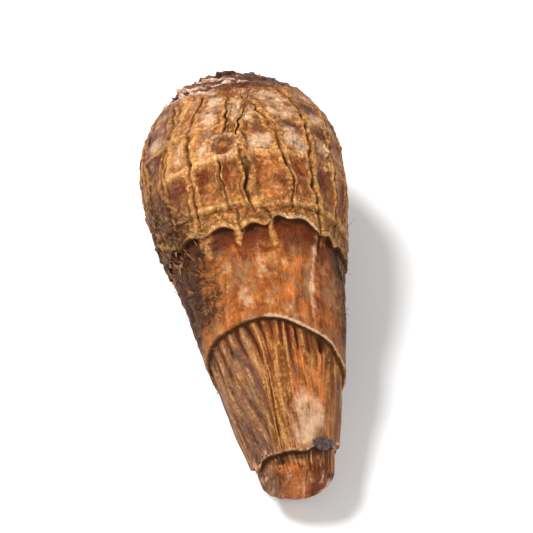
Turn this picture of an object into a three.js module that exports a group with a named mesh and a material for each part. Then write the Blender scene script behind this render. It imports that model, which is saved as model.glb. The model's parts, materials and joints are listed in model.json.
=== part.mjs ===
// A taro cormel as dug and dried, lying on its side. It grew as one piece: a round bulb in cracked bark,
// a smooth leaf-base collar below it, a fibrous tapering neck, and the cut where it left the mother corm.
// Sizes are in millimetres and +Z is up. The cut end points along -Y and the crown along +Y.
// "Along" is the distance from the crown's rim towards the cut end, and "around" is the angle about the
// corm's own axis, 0 at the top and positive towards +X.

import * as THREE from "three";

const { smoothstep, degToRad } = THREE.MathUtils;
const TURN = 2 * Math.PI;

// Driving dimensions.
const LENGTH = 91.4; // crown rim to cut end, along the axis
const CROWN_RADIUS = 14.4; // where the bark ends and the brown cap begins
const BULB_RADIUS = 21.9;
const NECK_RADIUS = 13.95; // just above the edge where the collar ends

// How the corm lies.
const PITCH = degToRad(11.4); // the neck is thinner than the bulb, so the axis falls towards the cut end
const CROWN_LIFT = 3.2; // the crown's end turns up by this much
const LIFT_FROM = 22; // and starts to turn up here
const CROWN_TILT = 3.8; // and its rim leans back, so that the cap shows from above
const SIDE_BOW = 0.6;
const TIP_LEAN = 0.6; // the neck leans this far towards +X at the cut end
const AXIS_START = new THREE.Vector3(-0.01, 40.61, 26.24);

// The bare outline: distance along the axis and radius.
const OUTLINE = [
  [0, CROWN_RADIUS],
  [2, 16.1],
  [4.5, 17.8],
  [9.7, 20.6],
  [15.5, BULB_RADIUS],
  [23.7, 21.8],
  [30.5, 20.9],
  [36.9, 19.7],
  [44.1, 18.1],
  [51.2, 16.5],
  [58, 15.4],
  [65, NECK_RADIUS],
  [72, 12.45],
  [80, 10.4],
  [87, 8.5],
  [LENGTH, 7.2],
];

// Old leaf scars, and the torn end of the skin. Each ring tilts by "side" towards +X and "top" towards the
// top, its line wavers, "scallop" arches it between the cracks and "notch" is one wide bite out of it.
const RINGS = [
  { at: 0, side: 0, top: CROWN_TILT, waver: 0.3 },
  { at: 16.5, side: 0.6, top: 0, waver: 0.6, ridge: 0.42 },
  { at: 25.6, side: 1.3, top: 0, waver: 0.7, ridge: 0.5 },
  { at: 35.9, side: 2.4, top: 0.5, waver: 0.7, ridge: 0.36, split: 0.5 },
  { at: 41.3, side: 2.3, top: 0.2, waver: 0.7, scallop: -1.2, notch: -1.8, flare: 0.32, drop: 0.42, heal: 13 },
  { at: 66.1, side: 3.0, top: -5.3, waver: 0.4, flare: 0.42, drop: 0.55, heal: 14 },
  { at: 85.4, side: -1, top: 2, waver: 0.7, flare: 0.3, drop: 0.6, heal: 7 },
  { at: LENGTH, side: 0, top: 0, waver: 0 },
];
const BARK_END = RINGS[4].at;
const COLLAR_END = RINGS[5].at;
const SKIN_END = RINGS[6].at;

// Bark cracks. Each one is a column of the mesh, with two more at its lips and two across the plate.
const CRACKS = 19;
const CRACK_STEP = TURN / CRACKS;
const LIP = 0.085; // where a crack's lip stands, as a share of the step between cracks
const COLUMNS = [0, LIP, 0.34, 0.66, 1 - LIP];
const CRACK_DEPTH = 0.8;
const LIP_HEIGHT = 0.36;
const FIBRE_HEIGHT = 0.42;

// How far the cracks on the upper side stray from even spacing, in steps between cracks. Each row is one
// crack, from the fourth to the left of the top to the third to its right, read at the distances given.
const STRAY_FIRST = -4;
const STRAY_AT = [0, 4, 10, 16, 22, 26.5, 29.5, 34.5, BARK_END];
const STRAY = [
  [0, 0, 0, 0, 0, 0, 0, 0, 0],
  [0.4, 0.7, 0.8, 0.65, 0.4, 0.2, 0.1, 0, 0],
  [0.4, 0.6, 0.5, 0.25, 0, -0.1, -0.15, -0.1, 0],
  [0.4, 0.6, 0.42, 0.25, 0.1, 0, 0, 0, 0],
  [0, -0.1, -0.13, -0.25, -0.37, -0.36, -0.42, -0.55, 0],
  [-0.5, -0.75, -0.55, -0.36, -0.23, -0.16, 0.15, 0.21, 0],
  [-0.3, -0.45, -0.38, -0.34, -0.15, -0.12, -0.12, -0.05, 0],
  [0, 0, 0, 0, 0, 0, 0, 0, 0],
];

// The side bud: an old eye with a raised rim.
const BUD = { along: 22.4, around: degToRad(-14.5), rim: 2.9, rimHeight: 0.75, pit: 0.7, nub: 1.1 };

// A smooth swelling on the neck, where the fibres fade out.
const SWELLING = { along: 83, around: degToRad(21), length: 8.5, width: degToRad(22) };

// Rows of the mesh, as distance along. They crowd at the scars.
const SKIN_ROWS = [
  0, 1.7, 4.2, 7, 9.8, 12.4, 14.6, 16.5, 18.4, 20, 21.2, 22.5, 24.3, 25.6, 26.7, 28.8, 31, 33.2, 34.8,
  35.9, 36.6, 38.3, 40, 41.3, 41.75, 43.4, 46, 49.4, 53, 56.6, 60.2, 63.2, 65, 66.1, 66.55, 68.8, 71.8,
  75, 78.4, 81.7, 84.2, 85.4, 85.8, 88.2, 90.6,
];
// The brown cap of old leaf bases, from its bud outwards: radius and distance along.
const CAP_ROWS = [
  [0, -6.0],
  [1.9, -5.6],
  [2.7, -4.8],
  [6.2, -4.5],
  [7.0, -3.7],
  [10.0, -3.2],
  [10.8, -2.3],
  [13.1, -0.9],
  [13.9, 0.8],
];
const CAP_WIDEN = 0.13; // the cap is wider towards the top by this share
// The domed end of the stub that stands out of the torn skin: radius and distance along.
const CUT_ROWS = [
  [6.5, 91.6],
  [5.4, 92.2],
  [3.7, 92.5],
  [1.9, 92.6],
  [0, 92.6],
];

// A fixed draw between 0 and 1 for a pair of numbers.
function draw(a, b) {
  const x = Math.sin(a * 127.1 + b * 311.7) * 43758.5453;
  return x - Math.floor(x);
}

// A smooth wavering value between -1 and 1 that closes round the corm.
function waver(around, along, seed) {
  return (
    0.45 * Math.sin(3 * around + 0.11 * along + seed) +
    0.33 * Math.sin(5 * around - 0.19 * along + 2.3 * seed) +
    0.22 * Math.sin(9 * around + 0.31 * along + 4.1 * seed)
  );
}

function bump(x, width) {
  return Math.exp(-((x / width) ** 2));
}

// Smooth curve through rising [x, y] points.
function through(points, x) {
  const last = points.length - 1;
  if (x <= points[0][0]) return points[0][1];
  if (x >= points[last][0]) return points[last][1];
  let k = 0;
  while (x > points[k + 1][0]) k++;
  const slope = (i) => {
    const a = points[Math.max(i - 1, 0)];
    const b = points[Math.min(i + 1, last)];
    return (b[1] - a[1]) / (b[0] - a[0]);
  };
  const span = points[k + 1][0] - points[k][0];
  const t = (x - points[k][0]) / span;
  const t2 = t * t;
  const t3 = t2 * t;
  return (
    (2 * t3 - 3 * t2 + 1) * points[k][1] +
    (t3 - 2 * t2 + t) * span * slope(k) +
    (3 * t2 - 2 * t3) * points[k + 1][1] +
    (t3 - t2) * span * slope(k + 1)
  );
}

// How far the scars' tilt and wavering move a point along the axis.
function ringShift(along, around) {
  const arch = Math.sin((Math.PI * around) / CRACK_STEP) ** 2;
  const shifts = RINGS.map((ring, k) => [
    ring.at,
    ring.side * Math.sin(around) +
      ring.top * Math.cos(around) +
      ring.waver * waver(around, 0, k) +
      (ring.scallop ?? 0) * arch +
      (ring.notch ?? 0) * bump(around - degToRad(21), degToRad(13)),
  ]);
  return through(shifts, along);
}

// How far the cracks near this angle stray from even spacing, in steps.
function stray(along, around) {
  const turn = around / CRACK_STEP - STRAY_FIRST;
  const k = Math.floor(turn);
  if (k < 0 || k > STRAY.length - 2) return 0;
  const [left, right] = [STRAY[k], STRAY[k + 1]].map((row) =>
    through(
      row.map((steps, i) => [STRAY_AT[i], steps]),
      along,
    ),
  );
  return left + (turn - k) * (right - left);
}

// How far a crack wanders sideways from its column.
function wander(along, around) {
  const jog = 0.028 * Math.sin(1.13 * along + 11 * around) + 0.018 * Math.sin(1.9 * along - 17 * around);
  const bark = 1 - smoothstep(along, BARK_END - 2, BARK_END);
  const swing = 0.26 * waver(around, 0, 1.7) + 0.1 * Math.sin(0.23 * along + 7 * around);
  return CRACK_STEP * (swing + stray(along, around) + bark * jog);
}

// Distance over the skin from the side bud's middle.
function budDistance(along, around) {
  const turned = around + wander(along, around);
  const shifted = along + ringShift(along, around);
  return Math.hypot(shifted - BUD.along, (turned - BUD.around) * BULB_RADIUS);
}

// Bark: deep lengthwise cracks with raised lips, between plates that tilt a little.
function barkRelief(along, around) {
  const turn = (around / CRACK_STEP + CRACKS) % CRACKS;
  const nearest = Math.round(turn);
  const share = Math.abs(turn - nearest);
  const crack = nearest % CRACKS;
  const starts = 1 + 5 * draw(crack, 1);
  const ends = BARK_END - 1 - 6 * draw(crack, 2) + 9 * (draw(crack, 3) > 0.7);
  const present = smoothstep(along, starts - 2, starts + 2) * (1 - smoothstep(along, ends - 3, ends + 2));
  const width = 0.6 + 0.4 * draw(crack, 5);
  const open = width * (0.72 + 0.28 * Math.sin(0.42 * along + TURN * draw(crack, 4)));
  const groove = -CRACK_DEPTH * (1 - smoothstep(share, 0, 0.07));
  const lip = LIP_HEIGHT * bump(share - 0.105, 0.055);
  const plate = 0.18 * waver(around, 0.9 * along, 5) * (1 - smoothstep(along, BARK_END - 1, BARK_END + 1));
  const clear = smoothstep(budDistance(along, around), BUD.rim, BUD.rim + 1.6);
  return present * open * clear * (groove + lip) + plate;
}

// Scars: a thin ridge, a split under it, or a flared edge that stands over the next layer.
function ringRelief(along, around) {
  const turn = (around / CRACK_STEP + CRACKS) % CRACKS;
  const plate = Math.floor(turn);
  const inPlate = smoothstep(Math.min(turn - plate, 1 - turn + plate), 0.04, 0.2);
  let height = 0;
  for (const ring of RINGS) {
    const past = along - ring.at;
    const strength = 0.75 + 0.25 * waver(around, 0, ring.at);
    const broken = 0.3 + inPlate * draw(plate, ring.at);
    if (ring.ridge) height += ring.ridge * broken * bump(past, 0.8);
    if (ring.split) height -= ring.split * strength * bump(past - 0.75, 0.35);
    if (ring.flare && past <= 0) height += ring.flare * strength * Math.exp(past / 2.6);
    if (ring.drop && past > 0) height -= ring.drop * (1 - smoothstep(past, 0, ring.heal));
  }
  return height;
}

// Collar: hollows arched under the bark's edge, soft furrows, and one long crease.
function collarRelief(along, around) {
  const past = along - BARK_END;
  if (past <= 0) return 0;
  const arch = Math.sin((Math.PI * around) / CRACK_STEP) ** 2;
  const hollow = -0.6 * arch * Math.exp(-past / 3.5) * smoothstep(past, 0, 0.4);
  const inside = smoothstep(past, 0, 3) * (1 - smoothstep(along, COLLAR_END - 1, COLLAR_END));
  const furrow = 0.16 * Math.sin(13 * around + 0.05 * along) + 0.1 * Math.sin(22 * around - 0.08 * along);
  const crease = 0.45 * bump(around - degToRad(38), degToRad(3.2)) * smoothstep(along, 44, 48);
  return hollow + inside * (furrow + crease);
}

// Neck: fibres raised in uneven ribs, one value for each column.
function fibre(column, along) {
  const count = CRACKS * COLUMNS.length;
  const c = (column + count) % count;
  const side = c % 2 ? 1 : -1;
  const strength = 0.25 + 0.75 * draw(c, 9);
  return side * strength * (0.7 + 0.3 * Math.sin(0.3 * along + TURN * draw(c, 10)));
}

function neckRelief(along, column, around) {
  const torn = 0.75 * smoothstep(along, SKIN_END, SKIN_END + 1);
  const present = smoothstep(along, COLLAR_END, COLLAR_END + 1) * (1 - torn);
  const down = (along - SWELLING.along) / SWELLING.length;
  const aside = (around - SWELLING.around) / SWELLING.width;
  const far = Math.hypot(down, aside);
  const calm = smoothstep(far, 0.5, 1.3);
  const swell = 0.55 * bump(far, 0.8);
  return present * (FIBRE_HEIGHT * calm * fibre(column, along) + swell);
}

// Side bud: a raised ring round a pit with a nub in it.
function budRelief(along, around) {
  const far = budDistance(along, around);
  return BUD.rimHeight * bump(far - BUD.rim, 0.8) - BUD.pit * bump(far, 2.0) + BUD.nub * bump(far, 0.9);
}

// A point of the corm, from its distance along the axis, its angle around it and its radius.
const AXIS = new THREE.Vector3(0, -Math.cos(PITCH), -Math.sin(PITCH));
const UP = new THREE.Vector3(0, -Math.sin(PITCH), Math.cos(PITCH));
const SIDE = new THREE.Vector3(1, 0, 0);

function place(along, around, radius) {
  const bend = Math.max(0, 1 - along / LIFT_FROM);
  const lift = CROWN_LIFT * bend ** 2;
  const liftSlope = (-2 * CROWN_LIFT * bend) / LIFT_FROM;
  const turn = (Math.PI * along) / LENGTH;
  const lean = Math.max(0, along / LENGTH - 0.4);
  const bow = SIDE_BOW * Math.sin(turn) + (TIP_LEAN * lean ** 2) / 0.36;
  const bowSlope = (SIDE_BOW * Math.PI * Math.cos(turn) + (2 * TIP_LEAN * lean) / 0.36) / LENGTH;
  const tangent = AXIS.clone().addScaledVector(UP, liftSlope).addScaledVector(SIDE, bowSlope).normalize();
  const up = UP.clone().addScaledVector(tangent, -UP.dot(tangent)).normalize();
  const side = new THREE.Vector3().crossVectors(up, tangent);
  const point = AXIS_START.clone().addScaledVector(AXIS, along);
  point.addScaledVector(UP, lift).addScaledVector(SIDE, bow);
  point.addScaledVector(up, radius * Math.cos(around)).addScaledVector(side, radius * Math.sin(around));
  point.z = Math.max(point.z, 0); // the skin is pressed flat where the corm lies
  return point;
}

// Slightly out of round, as a root is.
function lobes(along, around) {
  return 1 + 0.014 * Math.sin(2 * around + 0.04 * along + 0.6) + 0.01 * Math.sin(3 * around - 0.06 * along + 2);
}

function skinPoint(along, column) {
  const share = COLUMNS[column % COLUMNS.length];
  let around = CRACK_STEP * (Math.floor(column / COLUMNS.length) + share);
  if (around > Math.PI) around -= TURN;
  const relief =
    barkRelief(along, around) +
    ringRelief(along, around) +
    collarRelief(along, around) +
    neckRelief(along, column, around) +
    budRelief(along, around);
  const turned = around + wander(along, around);
  const shifted = along + ringShift(along, around);
  const radius = through(OUTLINE, shifted) * lobes(shifted, turned) + relief;
  return place(shifted, turned, radius);
}

// Cap and cut end: rings that fold a little where the old leaf bases dried, and that close at the middle.
function endPoint(radius, along, column, fold) {
  const share = COLUMNS[column % COLUMNS.length];
  let around = CRACK_STEP * (Math.floor(column / COLUMNS.length) + share);
  if (around > Math.PI) around -= TURN;
  const turned = around + wander(along, around);
  const spread = smoothstep(radius, 1, 8);
  const uneven = fold * spread * waver(around, 0, radius);
  const inCap = along < LENGTH / 2 ? radius / CROWN_RADIUS : 0;
  const tilt = CROWN_TILT * inCap * Math.cos(around);
  const widen = CAP_WIDEN * inCap * Math.max(0, Math.cos(around));
  return place(along + uneven + tilt, turned, radius * (1 + widen + spread * (lobes(along, turned) - 1)));
}

function cormGeometry() {
  const rows = [
    ...CAP_ROWS.map(([radius, along]) => ({ radius, along, fold: 0.4 })),
    ...SKIN_ROWS.map((along) => ({ radius: through(OUTLINE, along), along })),
    ...CUT_ROWS.map(([radius, along]) => ({ radius, along, fold: 0.3 })),
  ].reverse(); // from the cut end up, so that the faces point out
  const outline = rows.map(({ radius, along }) => new THREE.Vector2(radius, along));
  const columns = CRACKS * COLUMNS.length;
  const geometry = new THREE.LatheGeometry(outline, columns);
  const position = geometry.getAttribute("position");
  for (let i = 0; i < position.count; i++) {
    const row = rows[i % rows.length];
    const column = Math.floor(i / rows.length) % columns;
    const point =
      row.fold === undefined ? skinPoint(row.along, column) : endPoint(row.radius, row.along, column, row.fold);
    position.setXYZ(i, point.x, point.y, point.z);
  }
  geometry.computeVertexNormals();
  return geometry;
}

const bark = new THREE.MeshStandardMaterial({ color: 0xb07a4c, roughness: 0.78, metalness: 0 });
const corm = new THREE.Mesh(cormGeometry(), bark);
corm.name = "taro_corm";

const part = new THREE.Group();
part.add(corm);

export default part;
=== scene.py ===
"""A dug and dried taro cormel, lying on its side, for a studio picture.

The cormel is one natural thing: a bulb in cracked bark, a brown cap of old leaf bases, a smooth collar, a
fibrous neck and the stub where it left its mother corm. The form is the solid's own, worked out again on a
finer net with small relief added. Form sizes are in millimetres along and round the corm's own axis, and
every mesh is in metres.
"""

from __future__ import annotations

import json
import logging
import math
import random
from dataclasses import dataclass, field
from enum import Enum
from functools import cached_property

import bmesh
import bpy
import numpy as np
from mathutils import Matrix, Vector

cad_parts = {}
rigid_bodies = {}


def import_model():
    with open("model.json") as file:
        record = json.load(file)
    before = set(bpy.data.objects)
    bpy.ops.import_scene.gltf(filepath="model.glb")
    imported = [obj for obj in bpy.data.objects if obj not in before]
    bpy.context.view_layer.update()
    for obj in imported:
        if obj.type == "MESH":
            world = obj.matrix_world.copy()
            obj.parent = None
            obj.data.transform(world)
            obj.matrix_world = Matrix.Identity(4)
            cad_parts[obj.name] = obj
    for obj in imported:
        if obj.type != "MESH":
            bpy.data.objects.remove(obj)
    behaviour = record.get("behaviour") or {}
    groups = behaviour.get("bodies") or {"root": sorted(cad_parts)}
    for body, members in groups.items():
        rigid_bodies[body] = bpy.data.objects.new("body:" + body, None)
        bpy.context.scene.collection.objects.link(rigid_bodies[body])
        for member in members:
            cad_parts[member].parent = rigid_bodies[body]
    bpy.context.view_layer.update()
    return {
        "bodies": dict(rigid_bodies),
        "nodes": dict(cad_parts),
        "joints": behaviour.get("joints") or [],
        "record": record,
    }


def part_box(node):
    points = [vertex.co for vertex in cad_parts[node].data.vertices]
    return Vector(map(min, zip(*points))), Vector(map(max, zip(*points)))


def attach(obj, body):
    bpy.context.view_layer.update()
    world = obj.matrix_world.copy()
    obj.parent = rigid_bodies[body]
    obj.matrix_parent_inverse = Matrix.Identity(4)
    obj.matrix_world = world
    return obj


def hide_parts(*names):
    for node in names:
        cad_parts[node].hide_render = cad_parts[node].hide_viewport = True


LOG = logging.getLogger("taro")
TURN = 2.0 * math.pi
MM = 0.001
NODE = "taro_corm"
BODY = "root"
GRAIN_RADIUS = 15.0
END_GRAIN = 98.0
STORED = {
    "scars": ("crack", "pale", "edge"),
    "stains": ("dark", "plum", "warm"),
    "washes": ("maroon", "grey", "soft"),
    "ridges": ("gold", "web", "layer"),
}


class Layer(Enum):
    """The corm's layers, in order from the crown to the stub."""

    CAP = 0
    BARK = 1
    COLLAR = 2
    NECK = 3
    STUB = 4


class Zone(Enum):
    """The zones of the skin's net: the crown's cap, the skin itself and the stub's end."""

    CAP = 0
    SKIN = 1
    END = 2


@dataclass(frozen=True)
class Tint:
    """A colour as a screen shows it, each channel from 0 to 255."""

    red: float
    green: float
    blue: float

    def linear(self) -> tuple[float, float, float, float]:
        """The colour in linear light, with full alpha."""
        channels = (value / 255.0 for value in (self.red, self.green, self.blue))
        steps = [c / 12.92 if c <= 0.04045 else ((c + 0.055) / 1.055) ** 2.4 for c in channels]
        return (steps[0], steps[1], steps[2], 1.0)


def draw(a: np.ndarray | float, b: float) -> np.ndarray | float:
    """A fixed draw between 0 and 1 for a pair of numbers.

    Args:
        a: First number, or an array of them.
        b: Second number.

    Returns:
        The draw for each value of a.
    """
    x = np.sin(np.asarray(a, float) * 127.1 + b * 311.7) * 43758.5453
    return x - np.floor(x)


def smooth(x: np.ndarray, low: float, high: float) -> np.ndarray:
    """A smooth step from 0 at low to 1 at high."""
    t = np.clip((np.asarray(x, float) - low) / (high - low), 0.0, 1.0)
    return t * t * (3.0 - 2.0 * t)


def bump(x: np.ndarray, width: float) -> np.ndarray:
    """A rounded bump of height 1 at 0."""
    return np.exp(-((x / width) ** 2))


def waver(around: np.ndarray, along: np.ndarray | float, seed: float) -> np.ndarray:
    """A smooth wavering value between -1 and 1 that closes round the corm.

    Args:
        around: Angle round the corm.
        along: Distance along it, in mm.
        seed: Picks one of many such values.

    Returns:
        The value at each point.
    """
    return (
        0.45 * np.sin(3 * around + 0.11 * along + seed)
        + 0.33 * np.sin(5 * around - 0.19 * along + 2.3 * seed)
        + 0.22 * np.sin(9 * around + 0.31 * along + 4.1 * seed)
    )


def through(knots: np.ndarray, values: np.ndarray, x: np.ndarray) -> np.ndarray:
    """A smooth curve through rising knots.

    Args:
        knots: Where the knots are.
        values: The value at each knot, one row a knot, with a column for each x or a single one.
        x: Where the curve is read.

    Returns:
        The curve's value at each x.
    """
    last = len(knots) - 1
    x = np.clip(x, knots[0], knots[last])
    low = np.maximum(np.arange(last + 1) - 1, 0)
    high = np.minimum(np.arange(last + 1) + 1, last)
    slopes = (values[high] - values[low]) / (knots[high] - knots[low])[:, None]
    k = np.clip(np.searchsorted(knots, x, side="left") - 1, 0, last - 1)
    span = knots[k + 1] - knots[k]
    t = (x - knots[k]) / span
    column = np.arange(x.size) if values.shape[1] > 1 else np.zeros(x.size, int)
    return (
        (2 * t**3 - 3 * t**2 + 1) * values[k, column]
        + (t**3 - 2 * t**2 + t) * span * slopes[k, column]
        + (3 * t**2 - 2 * t**3) * values[k + 1, column]
        + (t**3 - t**2) * span * slopes[k + 1, column]
    )


def grainy(points: np.ndarray, scale: tuple[float, float, float], seed: int, octaves: int = 2) -> np.ndarray:
    """Seeded smooth noise between -1 and 1.

    Args:
        points: Where it is read, one row a point.
        scale: Cells to each unit, along each axis.
        seed: Picks one of many such noises.
        octaves: How many finer copies are added.

    Returns:
        The noise at each point.
    """
    total = np.zeros(len(points))
    weight = 0.0
    for octave in range(octaves):
        p = points * np.asarray(scale) * 2.03**octave + 17.3 * octave
        cell = np.floor(p)
        f = p - cell
        f = f * f * (3 - 2 * f)
        value = np.zeros(len(points))
        for corner in range(8):
            step = np.array([corner & 1, corner >> 1 & 1, corner >> 2 & 1])
            h = np.sin((cell + step) @ np.array([12.9898, 78.233, 37.719]) + seed * 5.137) * 43758.5453
            near = np.prod(np.where(step == 1, f, 1 - f), axis=1)
            value += near * (h - np.floor(h))
        total += 0.5**octave * (2 * value - 1)
        weight += 0.5**octave
    return total / weight


@dataclass(frozen=True)
class Ring:
    """An old leaf scar or the edge of a layer, at a distance along the corm, in mm."""

    at: float
    side: float
    top: float
    waver: float
    ridge: float = 0.0
    split: float = 0.0
    scallop: float = 0.0
    notch: float = 0.0
    flare: float = 0.0
    drop: float = 0.0
    heal: float = 1.0


@dataclass(frozen=True)
class Spot:
    """A soft patch on the skin: its middle, its size along in mm and round in degrees, and its strength."""

    along: float
    around: float
    length: float
    width: float
    strength: float = 1.0

    def mask(self, along: np.ndarray, around: np.ndarray) -> np.ndarray:
        """How strongly the patch shows at each point."""
        turned = np.angle(np.exp(1j * (around - math.radians(self.around))))
        fade = ((along - self.along) / self.length) ** 2 + (turned / math.radians(self.width)) ** 2
        return self.strength * np.exp(-fade)


@dataclass(frozen=True)
class Line:
    """A narrow line on the skin: its two ends, its half width in degrees, its strength, and its taper."""

    start: tuple[float, float]
    end: tuple[float, float]
    width: float
    strength: float = 1.0
    taper: float = 0.0

    def mask(self, along: np.ndarray, around: np.ndarray) -> np.ndarray:
        """How strongly the line shows at each point."""
        share = (along - self.start[0]) / (self.end[0] - self.start[0])
        held = np.clip(share, 0, 1)
        middle = math.radians(self.start[1]) + held * math.radians(self.end[1] - self.start[1])
        ends = smooth(share, -0.08, 0.08) * (1 - smooth(share, 0.92, 1.08))
        half = math.radians(self.width) * (1 - self.taper * held)
        return self.strength * ends * np.exp(-(((around - middle) / half) ** 2))


def laid(shapes: tuple[Spot | Line, ...], along: np.ndarray, around: np.ndarray) -> np.ndarray:
    """Several patches and lines laid on the skin together.

    Args:
        shapes: The patches and lines.
        along: Distance along, in mm.
        around: Angle round the corm.

    Returns:
        The strongest of them at each point.
    """
    total = np.zeros_like(along)
    for shape in shapes:
        total = np.maximum(total, shape.mask(along, around))
    return total


def spot_rows(*rows: tuple[float, ...]) -> tuple[Spot, ...]:
    """Patches, each from a row of its numbers."""
    return tuple(Spot(*row) for row in rows)


def line_rows(*rows: tuple[tuple[float, float] | float, ...]) -> tuple[Line, ...]:
    """Lines, each from a row of its ends and numbers."""
    return tuple(Line(*row) for row in rows)


@dataclass
class CormForm:
    """The corm's form, the same as the solid's, with the small relief that a solid is too coarse for."""

    length: float = 91.4
    crown_radius: float = 14.4
    bulb_radius: float = 21.9
    pitch: float = math.radians(11.4)
    crown_lift: float = 3.2
    lift_from: float = 22.0
    crown_tilt: float = 3.8
    cap_widen: float = 0.13
    side_bow: float = 0.6
    tip_lean: float = 0.6
    start: tuple[float, float, float] = (-0.01, 40.61, 26.24)
    cracks: int = 19
    crack_depth: float = 0.8
    fibre_height: float = 0.42
    crease_at: float = math.radians(38)
    solid_shares: tuple[float, ...] = (0.0, 0.085, 0.34, 0.66, 0.915)
    outline: tuple[tuple[float, float], ...] = (
        (0, 14.4), (2, 16.1), (4.5, 17.8), (9.7, 20.6), (15.5, 21.9), (23.7, 21.8), (30.5, 20.9),
        (36.9, 19.7), (44.1, 18.1), (51.2, 16.5), (58, 15.4), (65, 13.95), (72, 12.45), (80, 10.4),
        (87, 8.5), (91.4, 7.2),
    )
    rings: tuple[Ring, ...] = (
        Ring(0, 0, 3.8, 0.3),
        Ring(16.5, 0.6, 0, 0.6, ridge=0.42),
        Ring(25.6, 1.3, 0, 0.7, ridge=0.5),
        Ring(35.9, 2.4, 0.5, 0.7, ridge=0.36, split=0.5),
        Ring(41.3, 2.3, 0.2, 0.7, scallop=-1.2, notch=-1.8, flare=0.32, drop=0.42, heal=13),
        Ring(66.1, 3.0, -5.3, 0.4, flare=0.42, drop=0.55, heal=14),
        Ring(85.4, -1.0, 2.0, 0.7, flare=0.3, drop=0.6, heal=7),
        Ring(91.4, 0, 0, 0),
    )
    stray_first: int = -4
    stray_at: tuple[float, ...] = (0, 4, 10, 16, 22, 26.5, 29.5, 34.5, 41.3)
    stray_rows: tuple[tuple[float, ...], ...] = (
        (0, 0, 0, 0, 0, 0, 0, 0, 0),
        (0.4, 0.7, 0.8, 0.65, 0.4, 0.2, 0.1, 0, 0),
        (0.4, 0.6, 0.5, 0.25, 0, -0.1, -0.15, -0.1, 0),
        (0.4, 0.6, 0.42, 0.25, 0.1, 0, 0, 0, 0),
        (0, -0.1, -0.13, -0.25, -0.37, -0.36, -0.42, -0.55, 0),
        (-0.5, -0.75, -0.55, -0.36, -0.23, -0.16, 0.15, 0.21, 0),
        (-0.3, -0.45, -0.38, -0.34, -0.15, -0.12, -0.12, -0.05, 0),
        (0, 0, 0, 0, 0, 0, 0, 0, 0),
    )
    bud: tuple[float, float, float] = (22.4, math.radians(-14.5), 2.9)
    swelling: Spot = Spot(83, 21, 8.5, 22)

    @property
    def step(self) -> float:
        """The angle from one crack to the next."""
        return TURN / self.cracks

    @property
    def bark_end(self) -> float:
        """Where the bark's lower edge is."""
        return self.rings[4].at

    @property
    def collar_end(self) -> float:
        """Where the collar's lower edge is."""
        return self.rings[5].at

    @property
    def skin_end(self) -> float:
        """Where the skin is torn off."""
        return self.rings[6].at

    def radius(self, along: np.ndarray) -> np.ndarray:
        """The bare outline's radius at each distance along."""
        knots = np.array(self.outline)
        return through(knots[:, 0], knots[:, 1:2], along)

    def lobes(self, along: np.ndarray, around: np.ndarray) -> np.ndarray:
        """How far out of round the corm is, as a share of the radius."""
        oval = 0.014 * np.sin(2 * around + 0.04 * along + 0.6)
        return 1 + oval + 0.01 * np.sin(3 * around - 0.06 * along + 2)

    def shift(self, along: np.ndarray, around: np.ndarray) -> np.ndarray:
        """How far the scars' tilt and wavering move a point along the axis."""
        arch = np.sin(math.pi * around / self.step) ** 2
        bite = bump(around - math.radians(21), math.radians(13))
        rows = [
            ring.side * np.sin(around)
            + ring.top * np.cos(around)
            + ring.waver * waver(around, 0, k)
            + ring.scallop * arch
            + ring.notch * bite
            for k, ring in enumerate(self.rings)
        ]
        return through(np.array([float(ring.at) for ring in self.rings]), np.array(rows), along)

    def stray(self, along: np.ndarray, around: np.ndarray) -> np.ndarray:
        """How far the cracks near this angle stray from even spacing, in steps."""
        turn = around / self.step - self.stray_first
        k = np.floor(turn).astype(int)
        inside = (k >= 0) & (k <= len(self.stray_rows) - 2)
        k = np.clip(k, 0, len(self.stray_rows) - 2)
        knots = np.array(self.stray_at)
        rows = [through(knots, np.array(row, float)[:, None], along) for row in self.stray_rows]
        table = np.stack(rows, axis=0)
        points = np.arange(along.size)
        left, right = table[k, points], table[k + 1, points]
        return np.where(inside, left + (turn - k) * (right - left), 0.0)

    def wander(self, along: np.ndarray, around: np.ndarray) -> np.ndarray:
        """How far a crack wanders sideways, as an angle."""
        jog = 0.028 * np.sin(1.13 * along + 11 * around) + 0.018 * np.sin(1.9 * along - 17 * around)
        bark = 1 - smooth(along, self.bark_end - 2, self.bark_end)
        swing = 0.26 * waver(around, 0, 1.7) + 0.1 * np.sin(0.23 * along + 7 * around)
        return self.step * (swing + self.stray(along, around) + bark * jog)

    def bud_distance(self, along: np.ndarray, around: np.ndarray) -> np.ndarray:
        """Distance over the skin from the side bud's middle, in mm."""
        turned = around + self.wander(along, around)
        shifted = along + self.shift(along, around)
        return np.hypot(shifted - self.bud[0], (turned - self.bud[1]) * self.bulb_radius)

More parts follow.
